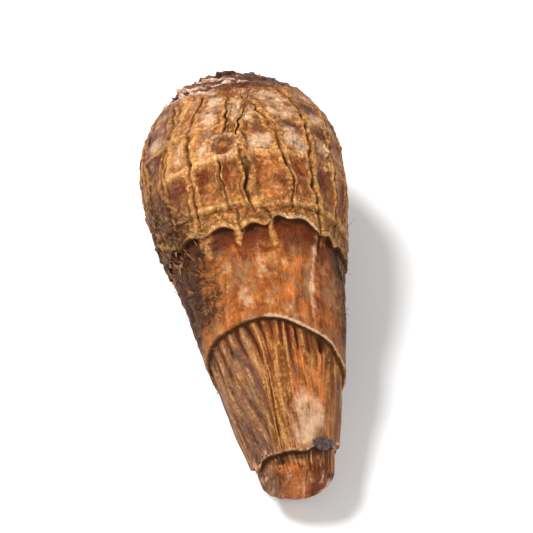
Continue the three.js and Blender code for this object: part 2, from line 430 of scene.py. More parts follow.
    def place(self, along: np.ndarray, around: np.ndarray, radius: np.ndarray) -> np.ndarray:
        """Points of the corm in the row frame, in mm.

        Args:
            along: Distance along the axis.
            around: Angle round it, 0 at the top and positive towards +X.
            radius: Distance from it.

        Returns:
            One row of x, y and z for each point.
        """
        axis = np.array([0, -math.cos(self.pitch), -math.sin(self.pitch)])
        high = np.array([0, -math.sin(self.pitch), math.cos(self.pitch)])
        flank = np.array([1.0, 0, 0])
        bend = np.maximum(0, 1 - along / self.lift_from)
        lift = self.crown_lift * bend**2
        lift_slope = -2 * self.crown_lift * bend / self.lift_from
        turn = math.pi * along / self.length
        lean = np.maximum(0, along / self.length - 0.4)
        bow = self.side_bow * np.sin(turn) + self.tip_lean * lean**2 / 0.36
        bow_slope = (self.side_bow * math.pi * np.cos(turn) + 2 * self.tip_lean * lean / 0.36) / self.length
        tangent = axis + lift_slope[:, None] * high + bow_slope[:, None] * flank
        tangent /= np.linalg.norm(tangent, axis=1)[:, None]
        up = high - (tangent @ high)[:, None] * tangent
        up /= np.linalg.norm(up, axis=1)[:, None]
        side = np.cross(up, tangent)
        point = np.array(self.start) + along[:, None] * axis + lift[:, None] * high + bow[:, None] * flank
        point += (radius * np.cos(around))[:, None] * up + (radius * np.sin(around))[:, None] * side
        point[:, 2] = np.maximum(point[:, 2], 0)
        return point

    def fibre(self, along: np.ndarray, around: np.ndarray) -> np.ndarray:
        """The neck's ribs, rounded between the solid's own columns."""
        count = self.cracks * len(self.solid_shares)
        edges = [n + s for n in range(self.cracks) for s in self.solid_shares]
        edges = np.array(edges + [float(self.cracks)])
        turn = (around / self.step + self.cracks) % self.cracks
        left = np.clip(np.searchsorted(edges, turn, side="right") - 1, 0, count - 1)
        near = (turn - edges[left]) / (edges[left + 1] - edges[left])
        near = near * near * (3 - 2 * near)

        def rib(column: np.ndarray) -> np.ndarray:
            """The height of one column's rib."""
            c = column % count
            strength = (0.25 + 0.75 * draw(c, 9)) * np.where(c % 2 == 1, 1, -1)
            return strength * (0.7 + 0.3 * np.sin(0.3 * along + TURN * draw(c, 10)))

        return (1 - near) * rib(left) + near * rib(left + 1)


@dataclass(frozen=True)
class Blemishes:
    """Where the skin's marks are: distance along in mm and angle in degrees, for each kind of mark.

    A ledge of the cap has its radius, a lip of the cap its radius and width, and an old scar its
    distance along and its draw.
    """

    pale: tuple[Spot | Line, ...] = spot_rows(
        (23.4, 9.5, 1.5, 5, 0.95), (22.2, 28, 1.7, 4.5, 0.8), (24.2, 31.5, 1.2, 4, 0.9),
        (19, 26, 1.3, 3.5, 0.6), (14, -28, 2.2, 3.4, 0.45), (22, -8, 2, 3.5, 0.45),
        (12.5, 9, 2.5, 4, 0.6), (13, 28, 2.4, 3, 0.65), (19, -43, 2.5, 4, 0.4), (15.5, 44, 2, 4, 0.65),
        (23.3, 49.5, 1.4, 4, 0.6), (26.6, 47, 1.2, 3, 0.5), (10, -10, 2.5, 4, 0.5), (8, 32, 2, 5, 0.5),
        (25.2, -31, 0.9, 5, 0.55), (51.6, -5.8, 5, 4, 0.3), (61.5, -24, 4, 6, 0.4),
        (62.5, 14, 3, 6, 0.45), (80.2, 16, 4.2, 20, 0.9), (82.4, 18, 3.2, 16, 1.15),
        (81, 33, 3.2, 13, 0.85), (76.5, 24, 3, 5, 0.45), (83, 1, 2.8, 10, 0.7), (84, -22, 1.6, 9, 0.45),
    ) + line_rows(
        ((44, 34.5), (64.4, 31.8), 1.5, 0.8),
    )
    plum: tuple[Spot | Line, ...] = spot_rows(
        (9.6, 3.9, 1.6, 3, 0.9), (16.2, 14, 1.6, 3.6, 0.6), (17, 28.3, 1.4, 3.2, 0.8),
        (19.7, 10.5, 1.8, 4, 0.6), (10.5, 43.7, 2.6, 6, 0.9), (16.6, 51.3, 2.6, 5, 0.8),
        (13, 36, 1.6, 3, 0.6), (9, -72.6, 3.5, 8, 0.7), (18, -66, 3, 5, 0.55), (5, 20, 2.2, 8, 0.5),
        (4, -35, 2.2, 9, 0.5), (28.5, 42, 1.8, 2.6, 0.7), (46.5, -9, 2, 3, 0.45),
        (57.8, -11.3, 2.6, 2.4, 0.6), (73.5, 9.6, 2.6, 6, 0.6), (70.5, -47, 3, 4, 0.6),
        (85, 40, 1.5, 9.5, 0.9),
    ) + line_rows(
        ((69.5, -39.5), (77, -32.5), 2.8, 0.85), ((72.5, -34.5), (81.5, -25), 2.5, 1.1),
        ((75, -44), (84, -33), 3.2, 0.65), ((70, -56), (80, -48), 2.6, 0.55),
        ((70, 72), (84, 66), 5, 0.8),
    )
    warm: tuple[Spot | Line, ...] = spot_rows(
        (30.2, -11.3, 1.3, 2.6, 0.95), (28.5, 12, 3.2, 4, 0.5), (31, 7.5, 2, 2.4, 0.5),
        (28.5, 31.5, 2.2, 2.2, 0.65), (28.4, -29, 2.4, 3, 0.45), (35.2, -12.7, 0.9, 4.5, 0.8),
        (33.8, 11, 1.3, 6, 0.6), (31.8, 26, 1.8, 5, 0.45), (37.6, 2, 1.4, 7, 0.4),
        (48.1, -26.1, 2, 2.2, 0.75), (52, 19.5, 4.5, 3.6, 0.85), (60.2, 9.3, 2.4, 6.5, 0.9),
        (56.5, 12, 4, 3, 0.45), (60.5, 24, 4, 6, 0.55), (61, 42, 4, 6, 0.45), (54, -18, 4, 3, 0.4),
        (76, 18, 4, 16, 0.95), (73.5, 15, 3.5, 9, 0.85), (76, 34, 5.5, 13, 0.9), (78, 40, 3, 8, 0.5),
        (81.5, -1, 2, 6, 0.5), (91, -12, 2.4, 15, 0.9),
    ) + line_rows(
        ((69, -17), (79, -10), 2.4, 0.6),
    )
    maroon: tuple[Spot | Line, ...] = spot_rows(
        (28.7, -12.5, 2.2, 3.4, 0.8), (29.2, 3.6, 2.6, 2.4, 0.9), (28.4, 29.8, 2.7, 3.4, 0.8),
        (30.8, 14, 1.5, 1.6, 0.6), (28.4, -32.5, 2.6, 4, 0.75), (28.6, -47, 3.2, 4, 0.7),
        (29, 44, 2.6, 3, 0.6), (36.9, -12, 1.2, 5, 0.6), (10, -22, 2, 3, 0.5), (12.4, 17, 2, 2.6, 0.55),
        (19.5, -18, 1.6, 2.6, 0.4), (44, -27, 3.2, 6.5, 1), (44.4, -9.5, 3.2, 5.5, 0.95),
        (44.8, 17.8, 2.4, 8, 0.85), (43.6, 33, 2, 6, 0.7), (48, -18.5, 3.2, 3, 0.6),
        (49.5, 13, 3, 2, 0.5), (52.5, 25, 4, 2, 0.5), (89.5, 30, 3, 14, 0.95), (90.5, 0, 3, 6, 0.5),
        (89, -62, 1.8, 8, 0.8),
    ) + line_rows(
        ((54, 37), (65, 36), 1.6, 0.8),
    )
    dark: tuple[Spot | Line, ...] = spot_rows(
        (42.9, -27, 1.2, 6.5, 0.6), (42.8, -9.5, 1.1, 6, 0.5), (43, 16, 0.9, 8, 0.4),
        (67.2, 37, 2.2, 5, 0.8), (69, 50, 3.5, 6, 0.7), (87, -29, 0.9, 8, 1.1), (86.6, 0, 0.6, 12, 0.6),
        (85.7, 40, 1.8, 11, 0.75), (90.5, 52, 3, 12, 0.6),
    ) + line_rows(
        ((39, 8.6), (48.6, 7.8), 0.8, 0.8), ((40, 1.6), (47, 2.6), 0.7, 0.5),
    )
    splits: tuple[Line, ...] = line_rows(
        ((16.5, 5.6), (25, 3), 0.7, 0.9), ((24.6, 3), (29.8, 0.4), 0.7, 0.9),
        ((5.5, 31.5), (15.5, 26), 0.8, 0.7), ((37.2, -16), (42, -17.5), 0.8, 0.9),
        ((36.5, 6), (41.5, 5), 0.8, 0.9), ((24.5, 9), (33, 7.2), 0.6, 0.35),
        ((25.8, -20), (34, -21.5), 0.7, 0.8),
    )
    ribs: tuple[Line, ...] = line_rows(
        ((-1, -46), (14, -50.5), 2.6, 1), ((13, -50), (25, -50), 2.8, 1),
        ((6.5, -38), (18, -33.5), 2, 0.7), ((17, -34), (29, -36.5), 2, 0.7),
    )
    tongues: tuple[Line, ...] = line_rows(
        ((37, 4.4), (49, 6.2), 5.2, 1, 0.7), ((37, -19), (46, -21.5), 7, 0.9, 0.75),
        ((37, -38), (48, -40), 8, 0.85, 0.7), ((37, 43), (45, 44), 6, 0.7, 0.7),
    )
    strands: tuple[Line, ...] = line_rows(
        ((66.5, -78), (84, -66), 1.4, 0.6), ((66.5, -60), (84.5, -50), 1.3, 0.65),
        ((66.5, -51), (84, -38), 1.1, 0.7), ((66.5, -42), (82, -29.5), 1, 0.95),
        ((66.5, -33), (84, -20), 1, 0.65), ((66.5, -24), (83, -12), 1.2, 0.85),
        ((66.5, -14.5), (80, -6), 1.2, 0.8), ((66.5, -5), (78, 0.5), 1.2, 0.75),
        ((66.5, 3.5), (76, 5), 1.9, 1, 0.5), ((66.5, 13.2), (71.5, 13.6), 1.3, 0.7),
        ((66.5, 21.3), (73.5, 21.6), 1.5, 0.75, 0.5), ((66.5, 31), (72, 30), 1.4, 0.55),
        ((67, 52), (80, 42), 1.4, 0.5),
    )
    gaps: tuple[Line, ...] = line_rows(
        ((66.7, -69), (74, -64), 2.2, 0.8, 0.6), ((66.7, -55.5), (73, -51), 1.8, 0.8, 0.6),
        ((66.7, -46.5), (71.5, -42.5), 1.8, 0.8, 0.6), ((66.7, -37.5), (72.5, -32.5), 1.8, 0.85, 0.6),
        ((66.7, -28.5), (73.5, -23), 1.9, 1, 0.6), ((66.7, -19), (74.5, -13.5), 1.9, 1, 0.6),
        ((66.7, -10), (71, -7.5), 1.7, 0.85, 0.6), ((66.7, -1), (70.5, 0.5), 1.6, 0.8, 0.6),
        ((66.7, 8.2), (73, 9.2), 2.6, 1, 0.5), ((66.7, 17.2), (70.5, 17.6), 1.8, 0.9, 0.5),
        ((66.7, 26.2), (70.5, 26), 2.6, 1, 0.5), ((66.7, 38), (69.5, 37), 4, 1, 0.4),
    )
    bright_edge: tuple[Spot, ...] = spot_rows((41.3, 24, 30, 14, 0.85), (41.3, -28, 30, 9, 0.3))
    flap: Spot = Spot(85, -56, 1.2, 7)
    scoop: Spot = Spot(86.9, -29, 0.9, 9)
    torn_cap: tuple[Spot, ...] = spot_rows((0, -62, 9, 40), (0, -12, 9, 16, 0.6))
    cap_ledges: tuple[float, ...] = (2.3, 6.6, 10.4, 13.5)
    cap_lips: tuple[tuple[float, float], ...] = ((10.5, 0.5), (6.8, 0.45), (13.3, 0.5))
    old_scars: tuple[tuple[float, float], ...] = ((-0.5, 51.0), (8.2, 52.0), (16.5, 53.0))


class Relief:
    """The skin's height over the bare outline, in mm, and the marks that its colours follow."""

    def __init__(self, form: CormForm, blemishes: Blemishes, along: np.ndarray, around: np.ndarray) -> None:
        """Starts from the bare outline with no marks, and finds the layers and the noises at each point.

        Args:
            form: The corm's form.
            blemishes: The marks' places.
            along: Each point's distance along, before the scars' tilt.
            around: Its angle round, before the cracks' wandering.
        """
        self.form, self.blemishes, self.along, self.around = form, blemishes, along, around
        self.height = np.zeros_like(along)
        self.marks = {name: np.zeros_like(along) for kept in STORED.values() for name in kept}

        # how far a point is past each layer's lower edge, and how fully it is on each layer
        self.past_bark = along - form.bark_end
        self.past_collar = along - form.collar_end
        self.past_skin = along - form.skin_end
        self.on_bark = 1 - smooth(self.past_bark, -0.1, 0.1)
        self.on_neck = smooth(self.past_collar, 0.0, 0.4)
        self.on_stub = smooth(self.past_skin, 0.0, 0.4)
        self.on_collar = (1 - self.on_bark) * (1 - self.on_neck)

        # the plates between the cracks, and the distance from the side bud
        self.turn = (around / form.step + form.cracks) % form.cracks
        self.plate = np.floor(self.turn) % form.cracks
        self.inside = smooth(np.minimum(self.turn % 1, 1 - self.turn % 1), 0.04, 0.2)
        self.far = form.bud_distance(along, around)

        # noises on the outline, and others that run with the fibres, which sweep round on the neck
        size = form.radius(along)
        straight = np.stack([size * np.cos(around), size * np.sin(around), along], axis=1)
        sweep = np.maximum(self.past_collar, 0) * math.radians(0.9) * bump(around + 0.65, 0.7)
        self.grain = self.tube(around - sweep)
        self.coarse = grainy(straight, (0.42, 0.42, 0.42), 3)
        self.fine = grainy(straight, (1.5, 1.5, 1.5), 4)
        self.streak = grainy(self.grain, (1.3, 1.3, 0.15), 5, 3)
        self.broad = grainy(self.grain, (0.6, 0.6, 0.07), 6, 2)
        self.clump = grainy(self.grain, (0.55, 0.55, 0.42), 41, 3)
        self.other = grainy(self.grain, (0.7, 0.7, 0.6), 42, 3)

    def tube(self, turned: np.ndarray) -> np.ndarray:
        """The points put on a plain tube, at other angles."""
        return np.stack([GRAIN_RADIUS * np.cos(turned), GRAIN_RADIUS * np.sin(turned), self.along], axis=1)

    @cached_property
    def tongue(self) -> np.ndarray:
        """1 on the tongues of bark that reach down over the collar."""
        tongue = laid(self.blemishes.tongues, self.along, self.around + 0.02 * self.coarse)
        tongue = smooth(tongue * (1 + 0.45 * self.fine + 0.4 * self.streak), 0.2, 1.0)
        return tongue * smooth(self.past_bark, -2.0, 0.0) * (1 - self.on_neck)

    @cached_property
    def hollow(self) -> np.ndarray:
        """1 in the arched hollows right under the bark's edge."""
        arch = np.sin(math.pi * self.around / self.form.step) ** 2
        return np.where(self.past_bark > 0, arch * np.exp(-np.maximum(self.past_bark, 0) / 3.5), 0)

    @cached_property
    def calm_far(self) -> np.ndarray:
        """Distance from the middle of the neck's swelling, 1 at its rim."""
        swelling = self.form.swelling
        return np.hypot(
            (self.along - swelling.along) / swelling.length,
            (self.around - math.radians(swelling.around)) / math.radians(swelling.width),
        )

    @cached_property
    def calm(self) -> np.ndarray:
        """0 where the neck is smooth: on its swelling, and less so on its right side."""
        right = smooth(self.around, math.radians(4), math.radians(18)) * smooth(self.past_collar, 4, 9)
        return smooth(self.calm_far, 0.5, 1.3) * (1 - 0.7 * right)

    @cached_property
    def rib(self) -> np.ndarray:
        """The neck's ribs."""
        return self.form.fibre(self.along, self.around)

    @cached_property
    def frayed(self) -> np.ndarray:
        """1 where a strand of the neck is whole."""
        return smooth(self.streak + 0.7 * grainy(self.grain, (1.1, 1.1, 0.5), 43, 2), -0.35, 0.25)

    @cached_property
    def strand(self) -> np.ndarray:
        """1 on the neck's pale strands."""
        strand = laid(self.blemishes.strands, self.along, self.around + 0.01 * self.coarse)
        return strand * smooth(self.past_collar, 0, 0.5) * (0.3 + 0.7 * self.frayed)

    @cached_property
    def gap(self) -> np.ndarray:
        """1 in the gaps between the strands, under the collar's edge."""
        gap = laid(self.blemishes.gaps, self.along, self.around + 0.02 * self.coarse)
        return gap * smooth(self.past_collar, 0, 0.5)

    @cached_property
    def flank(self) -> np.ndarray:
        """1 on the dark matted flanks, the left one wider than the right."""
        low = smooth(self.along, 20, 40)
        left = smooth(-self.around, math.radians(48) - 0.42 * low, math.radians(84) - 0.5 * low)
        left = left * smooth(self.along, 18, 34)
        below = smooth(np.abs(self.around), math.radians(84), math.radians(130))
        right = smooth(self.around, math.radians(46), math.radians(72)) * smooth(self.along, 30, 44)
        flank = np.maximum(np.maximum(left, 0.75 * below), 0.6 * right)
        flank = flank * (1 - smooth(self.past_collar, -9, 1.5))
        return np.clip(flank * (1 + 0.3 * self.coarse), 0, 1)

    @cached_property
    def ridged(self) -> np.ndarray:
        """Ridges of matted fibre that lean across the corm's length, from about -1 up to 1 on a ridge."""
        layers = []
        for lean, seed in ((0.6, 13), (-0.35, 14), (1.1, 15)):
            spots = self.tube(self.around - lean * self.along / GRAIN_RADIUS)
            layers.append(1 - 2.6 * np.abs(grainy(spots, (0.75, 0.75, 0.13), seed, 3)))
        return np.maximum(np.maximum(layers[0], layers[1] - 0.08), layers[2] - 0.12) - 0.25

    @property
    def plain(self) -> np.ndarray:
        """1 where no golden ridge shows so far."""
        return 1 - np.clip(1.3 * self.marks["gold"], 0, 1)

    @cached_property
    def blotch(self) -> np.ndarray:
        """How strongly stains take, in blotches."""
        return 0.55 + 0.9 * smooth(self.clump, -0.25, 0.3)

    @cached_property
    def layer(self) -> np.ndarray:
        """The layer's number at each point."""
        shares = {
            Layer.BARK: self.on_bark,
            Layer.COLLAR: self.on_collar,
            Layer.NECK: self.on_neck * (1 - self.on_stub),
            Layer.STUB: self.on_neck * self.on_stub,
        }
        return sum(share * layer.value for layer, share in shares.items())

    def work(self) -> None:
        """Works the skin from the crown to the stub: first its relief, then its marks."""
        self.raise_lips()
        self.raise_splits()
        self.raise_scars()
        self.raise_collar()
        self.raise_neck()
        self.raise_grain()
        self.raise_matting()
        self.stain_panels()
        self.stain_old_scars()
        self.stain_shadows()
        self.stain_collar()
        self.wear_and_shade_edges()
        self.stain_and_shade_neck()
        self.stain_and_shade_stub()
        self.stain_bud()

    def raise_lips(self) -> None:
        """Opens the bark's lengthwise cracks between raised lips."""
        form = self.form
        nearest = np.round(self.turn)
        crack = nearest % form.cracks
        offset = self.turn - nearest
        ragged = np.abs(offset + 0.014 * self.fine + 0.012 * self.coarse)
        starts = 0.5 + 2.5 * draw(crack, 1)
        ends = form.bark_end - 1 - 6 * draw(crack, 2) + 9 * (draw(crack, 3) > 0.7)
        present = smooth(self.along - starts, -2, 2) * (1 - smooth(self.along - ends, -3, 2))
        width = 0.65 + 0.35 * draw(crack, 5)
        opened = width * (0.78 + 0.22 * np.sin(0.42 * self.along + TURN * draw(crack, 4)))
        clear = smooth(self.far, form.bud[2], form.bud[2] + 1.6)
        shown = present * opened * clear
        groove = 1 - smooth(ragged, 0.0, 0.06)
        broad = 0.5 + 0.5 * draw(crack, np.where(offset > 0, 7.0, 8.0))
        edge = np.abs(offset) + 0.02 * self.fine + 0.03 * self.coarse
        outer = 0.09 + 0.09 * broad
        lip = smooth(edge, 0.025, 0.07) * (1 - smooth(edge, outer, outer + 0.06)) * broad
        self.height += shown * (0.66 * lip * (1 + 0.25 * self.fine) - (form.crack_depth + 0.1) * groove)
        self.height += 0.16 * waver(self.around, 0.9 * self.along, 5) * self.on_bark
        self.marks["crack"] += shown * (1 - smooth(ragged, 0.02, 0.065))
        self.marks["gold"] += shown * lip
        # Painted shade: a dark line at the foot of each raised lip.
        under_lip = bump(edge - outer - 0.075, 0.035)
        self.marks["dark"] += 0.9 * shown * under_lip * smooth(self.coarse, -0.5, 0.1)

    def raise_splits(self) -> None:
        """Opens the short side splits between the cracks, and lays the crossing ribs on."""
        splits = self.blemishes.splits
        split = laid(splits, self.along, self.around + 0.012 * self.coarse)
        wide = tuple(Line(line.start, line.end, 3.2 * line.width, line.strength) for line in splits)
        beside = laid(wide, self.along, self.around) * (1 - split)
        ridge = laid(self.blemishes.ribs, self.along, self.around + 0.015 * self.coarse)
        self.height += 0.25 * beside - 0.7 * split + 0.5 * ridge
        self.marks["crack"] += 0.9 * split
        self.marks["gold"] = np.maximum(np.maximum(self.marks["gold"], 0.7 * beside), ridge)

    def raise_scars(self) -> None:
        """Raises the ring scars, opens the split under the lowest, and drops the skin past each edge."""
        marks, coarse = self.marks, self.coarse
        for ring in self.form.rings:
            past = self.along - ring.at
            strength = 0.75 + 0.25 * waver(self.around, 0, ring.at)
            if ring.ridge:
                broken = 0.3 + self.inside * draw(self.plate, ring.at)
                self.height += ring.ridge * broken * bump(past + 0.3 * coarse, 0.75)
                marks["gold"] += 0.8 * broken * bump(past + 0.3 * coarse + 0.2, 0.8)
                marks["edge"] += 0.3 * broken * bump(past + 0.3 * coarse + 0.4, 0.35)
            if ring.split:
                line = past - 0.75 + 0.35 * coarse + 0.12 * self.fine
                torn = smooth(self.broad + 0.6 * coarse, -0.5, 0.0) * (0.35 + 0.65 * draw(self.plate, 33))
                self.height -= 1.3 * ring.split * torn * bump(line, 0.3)
                self.height += 0.6 * ring.split * torn * bump(line + 0.9, 0.55)
                marks["crack"] += 0.85 * torn * bump(line, 0.22)
                marks["gold"] += 0.6 * torn * bump(line + 0.9, 0.6)
            if ring.flare:
                lip = np.exp(np.minimum(past, 0) / 2.6) * (1 - smooth(past, 0, 0.4))
                self.height += ring.flare * strength * lip
            if ring.drop:
                sunk = smooth(past, 0, 0.4) * (1 - 0.8 * self.tongue)
                self.height -= sunk * (ring.drop * (1 - smooth(past, 0.4, ring.heal)))
                self.height -= sunk * 0.35 * np.exp(-np.maximum(past, 0) / 0.9)

    def raise_collar(self) -> None:
        """Sinks the hollows under the bark, and lays the collar's soft furrows and its long crease on."""
        along, around = self.along, self.around
        self.height -= 0.6 * self.hollow * smooth(self.past_bark, 0, 0.4) * (1 - self.tongue)
        inner = smooth(self.past_bark, 0, 3) * (1 - smooth(self.past_collar, -1, 0))
        furrow = 0.16 * np.sin(13 * around + 0.05 * along) + 0.1 * np.sin(22 * around - 0.08 * along)
        crease = bump(around - self.form.crease_at, math.radians(3.2)) * smooth(along, 44, 48)
        self.height += inner * (furrow + 0.45 * crease)

    def raise_neck(self) -> None:
        """Raises the neck's ribs, its swelling and strands, the side bud, and the torn skin's flap."""
        neck = smooth(self.past_collar, 0, 1) * (1 - 0.75 * smooth(self.past_skin, 0, 1))
        swollen = 0.55 * bump(self.calm_far, 0.8)
        self.height += neck * (self.form.fibre_height * self.calm * self.rib + swollen)
        ring = self.far - self.form.bud[2]
        self.height += 0.75 * bump(ring, 0.8) - 0.7 * bump(self.far, 2.0) + 1.1 * bump(self.far, 0.9)
        flap = self.blemishes.flap.mask(self.along, self.around)
        scoop = self.blemishes.scoop.mask(self.along, self.around)
        self.height += 0.3 * flap - 0.7 * scoop
        self.height += 0.38 * self.strand - 0.5 * self.gap

    def raise_grain(self) -> None:
        """Roughens each layer in its own way, and leaves the thin edges even."""
        even = smooth(np.abs(self.past_collar + 0.3), 0.3, 1.6)
        even = even * smooth(np.abs(self.past_skin + 0.3), 0.3, 1.2)
        neck = self.on_neck * even * (1 - self.on_stub)
        self.height += self.on_bark * (0.17 * self.coarse + 0.14 * self.fine + 0.03 * self.streak)
        self.height += self.on_collar * even * (0.08 * self.streak + 0.06 * self.fine + 0.12 * self.coarse)
        self.height += neck * (0.12 * self.streak * (0.3 + 0.7 * self.calm) + 0.03 * self.fine)
        self.height += self.on_stub * (0.24 * self.streak + 0.08 * self.fine + 0.1 * self.coarse)

    def raise_matting(self) -> None:
        """Mats the flanks and the bark's lower part with ridges of fibre."""
        rough = np.maximum(self.flank, self.on_bark * (0.3 + 0.4 * smooth(self.along, 34, 37)))
        self.height += 0.34 * self.flank * self.ridged + 0.2 * rough * self.on_bark * (self.ridged - 0.4)
        self.marks["web"] += rough
        self.marks["gold"] += (0.8 - 0.4 * self.on_collar) * self.flank * smooth(self.ridged, 0.35, 0.75)

    def stain_panels(self) -> None:
        """Stains the dark panels between the lower scars, and lays the single blemishes on."""
        marks, spots = self.marks, self.blemishes
        along, around, plain = self.along, self.around, self.plain
        panel = smooth(along, 26.0, 27.2) * (1 - smooth(along, 32.5, 35.2)) * self.inside
        shade = draw(self.plate, 21)
        upper = self.on_bark * (1 - smooth(along, 14, 26))
        marks["maroon"] += (0.2 + 0.3 * shade) * panel * self.blotch
        marks["maroon"] += laid(spots.maroon, along, around) * self.blotch
        marks["warm"] += 0.3 * panel * (1 - shade)
        marks["warm"] += laid(spots.warm, along, around) * plain * (1.5 - 0.7 * self.blotch)
        marks["pale"] += 0.35 * panel * smooth(self.other, 0.05, 0.35)
        marks["pale"] += plain * self.inside * 0.4 * draw(self.plate, 22) * bump(along - 22.6, 2.0)
        marks["pale"] += plain * (0.5 * upper * smooth(self.clump, -0.05, 0.45) + 0.12 * upper)
        marks["pale"] += laid(spots.pale, along, around) * (0.88 + 0.55 * self.other)
        high = self.on_bark * (1 - smooth(along, 12, 22))
        marks["plum"] += plain * 0.75 * high * smooth(self.other, 0.05, 0.4)
        marks["plum"] += laid(spots.plum, along, around)
        marks["maroon"] += 0.5 * plain * self.on_bark * smooth(-self.clump, 0.0, 0.45)
        marks["dark"] += laid(spots.dark, along, around)
        marks["dark"] += 0.4 * self.on_bark * plain * smooth(-self.coarse - 0.5 * self.clump, 0.15, 0.6)

    def stain_old_scars(self) -> None:
        """Lays low old scars on the upper bark, each dark below and pale further down."""
        marks, plain, plate = self.marks, self.plain, self.plate
        for at, seed in self.blemishes.old_scars:
            past = self.along - at
            above, below = draw(plate, seed), draw(plate, seed + 0.5)
            marks["plum"] += plain * self.inside * (0.25 + 0.6 * below) * bump(past - 2.3, 1.3) * self.blotch
            light = (0.08 + 0.34 * above) * bump(past - 5.6 + 0.8 * self.other, 1.7)
            clear = smooth(self.far, self.form.bud[2], self.form.bud[2] + 1)
            marks["pale"] += plain * self.inside * light * clear
            sunk = 0.14 * self.inside * bump(past - 2.0, 1.2)
            self.height += self.on_bark * (0.16 * bump(past, 0.8) - sunk)

    def stain_shadows(self) -> None:
        """Paints shade on the skin right under the bark's edge and in the hollows there, and darkens both
        sides of the upper corm, partly as dirt and partly as painted shade.
        """
        marks, coarse, around = self.marks, self.coarse, self.around
        # Painted shade in the arched hollows under the bark's edge, and a painted shadow that fades down the
        # collar from that edge.
        marks["maroon"] += 0.75 * self.hollow
        past = np.maximum(self.past_bark - 1, 0)
        shadow = np.where(self.past_bark > 0, bump(past, 6.0), 0)
        marks["maroon"] += 1.1 * shadow * (0.75 + 0.5 * coarse)
        marks["dark"] += 0.42 * shadow * (0.8 + 0.6 * coarse)
        # Both sides of the upper corm are darker, partly as dirt and partly as painted shade.
        left = smooth(-around, math.radians(34), math.radians(66))
        right = smooth(around, math.radians(52), math.radians(78))
        sides = (left + 0.5 * right) * (1 - smooth(self.along, 60, 68))
        marks["maroon"] += 0.45 * sides * (0.8 + 0.8 * coarse)
        marks["dark"] += (0.3 + 0.3 * self.on_collar) * sides * (0.95 + 0.5 * self.clump)

    def stain_collar(self) -> None:
        """Mottles the collar, and clears the tongues of bark of what lies under them."""
        marks, collar = self.marks, self.on_collar
        marks["maroon"] += 0.3 * collar * smooth(-self.broad - 0.4 * self.coarse, 0.0, 0.5)
        marks["warm"] += 0.22 * collar * smooth(self.broad, 0.0, 0.5) * smooth(self.along, 48, 58)
        marks["pale"] += 0.26 * collar * smooth(self.other + 0.3 * self.broad, 0.05, 0.5)
        marks["maroon"] += 0.45 * collar * smooth(-self.other - 0.3 * self.clump, 0.05, 0.35)
        marks["grey"] += 0.6 * collar * smooth(self.clump, -0.05, 0.3)
        marks["soft"] += 0.72 * collar
        for name in ("maroon", "dark", "warm"):
            marks[name] *= 1 - 0.7 * self.tongue
        marks["gold"] += 0.65 * self.tongue * smooth(self.past_bark, -0.5, 0.5)

    def wear_and_shade_edges(self) -> None:
        """Wears the three edges of the skin pale, and paints shade in the gap under each."""
        marks, along, around = self.marks, self.along, self.around
        edge = np.exp(np.minimum(self.past_bark, 0) / 0.7) * (1 - smooth(self.past_bark, 0.1, 0.18))
        bright = 0.1 + sum(spot.mask(along, around) for spot in self.blemishes.bright_edge)
        marks["edge"] += edge * bright * (1 - 0.8 * self.flank)
        ribbed = np.exp(np.minimum(self.past_bark, 0) / 1.6) * (1 - smooth(self.past_bark, 0.1, 0.2))
        marks["gold"] += 0.85 * ribbed * (0.7 + 0.7 * smooth(self.clump, -0.3, 0.3))
        edge = np.exp(np.minimum(self.past_collar, 0) / 0.3) * (1 - smooth(self.past_collar, 0.06, 0.16))
        worn = smooth(around + 0.5 * self.coarse + 0.2 * self.broad, -0.5, 0.1)
        marks["edge"] += edge * (0.12 + 1.2 * worn) * (0.85 + 0.3 * self.broad + 0.45 * self.fine)
        marks["edge"] *= 1 - 0.7 * smooth(np.abs(around), 1.0, 1.4)
        edge = np.exp(np.minimum(self.past_skin, 0) / 0.3) * (1 - smooth(self.past_skin, 0.06, 0.16))
        marks["edge"] += 0.55 * edge * (0.8 + 0.6 * self.streak)
        # Painted shade: the crack colour laid in the gap just past each edge, less of it under the tongues.
        gaps = ((self.past_bark, 0.75, 0.4), (self.past_collar, 0.8, 0.45), (self.past_skin, 0.9, 0.5))
        for past, most, reach in gaps:
            under = smooth(past, 0.08, 0.2) * np.exp(-np.maximum(past - 0.3, 0) / reach)
            marks["crack"] += most * under * (1 - 0.9 * self.tongue)

    def stain_and_shade_neck(self) -> None:
        """Stains the neck with golden strands and a greyed left side, and paints shade in its gaps and
        valleys and just below the collar's edge.
        """
        marks, streak, calm = self.marks, self.streak, self.calm
        neck = self.on_neck * (1 - self.on_stub)
        # Painted shade in the valleys between the ribs, in the gaps between the strands, and below the
        # collar's edge.
        valley = smooth(-self.rib + 0.4 * streak, 0.1, 0.8)
        shaded = np.where(self.past_collar > 0, np.exp(-np.maximum(self.past_collar, 0) / 4.5), 0)
        deep = 0.9 * self.gap + 0.35 * valley * calm + 0.45 * shaded
        marks["maroon"] += self.on_neck * deep * (1 - self.strand)
        marks["dark"] += self.on_neck * 0.65 * smooth(self.gap, 0.3, 0.9)
        left = smooth(-self.around, 0.25, 0.75)
        marks["grey"] += neck * left * (0.75 + 0.5 * self.coarse)
        marks["plum"] += neck * left * 0.75 * smooth(self.broad + 0.5 * self.other, 0.05, 0.4)
        marks["dark"] += neck * left * 0.6 * smooth(-self.frayed * 0.6 - streak, 0.0, 0.3)
        ridge = smooth(self.rib + 0.4 * streak, 0.2, 0.9)
        marks["gold"] += self.on_neck * (0.9 * self.strand + 0.35 * ridge * calm)
        marks["soft"] += neck * (0.9 - 0.75 * calm)

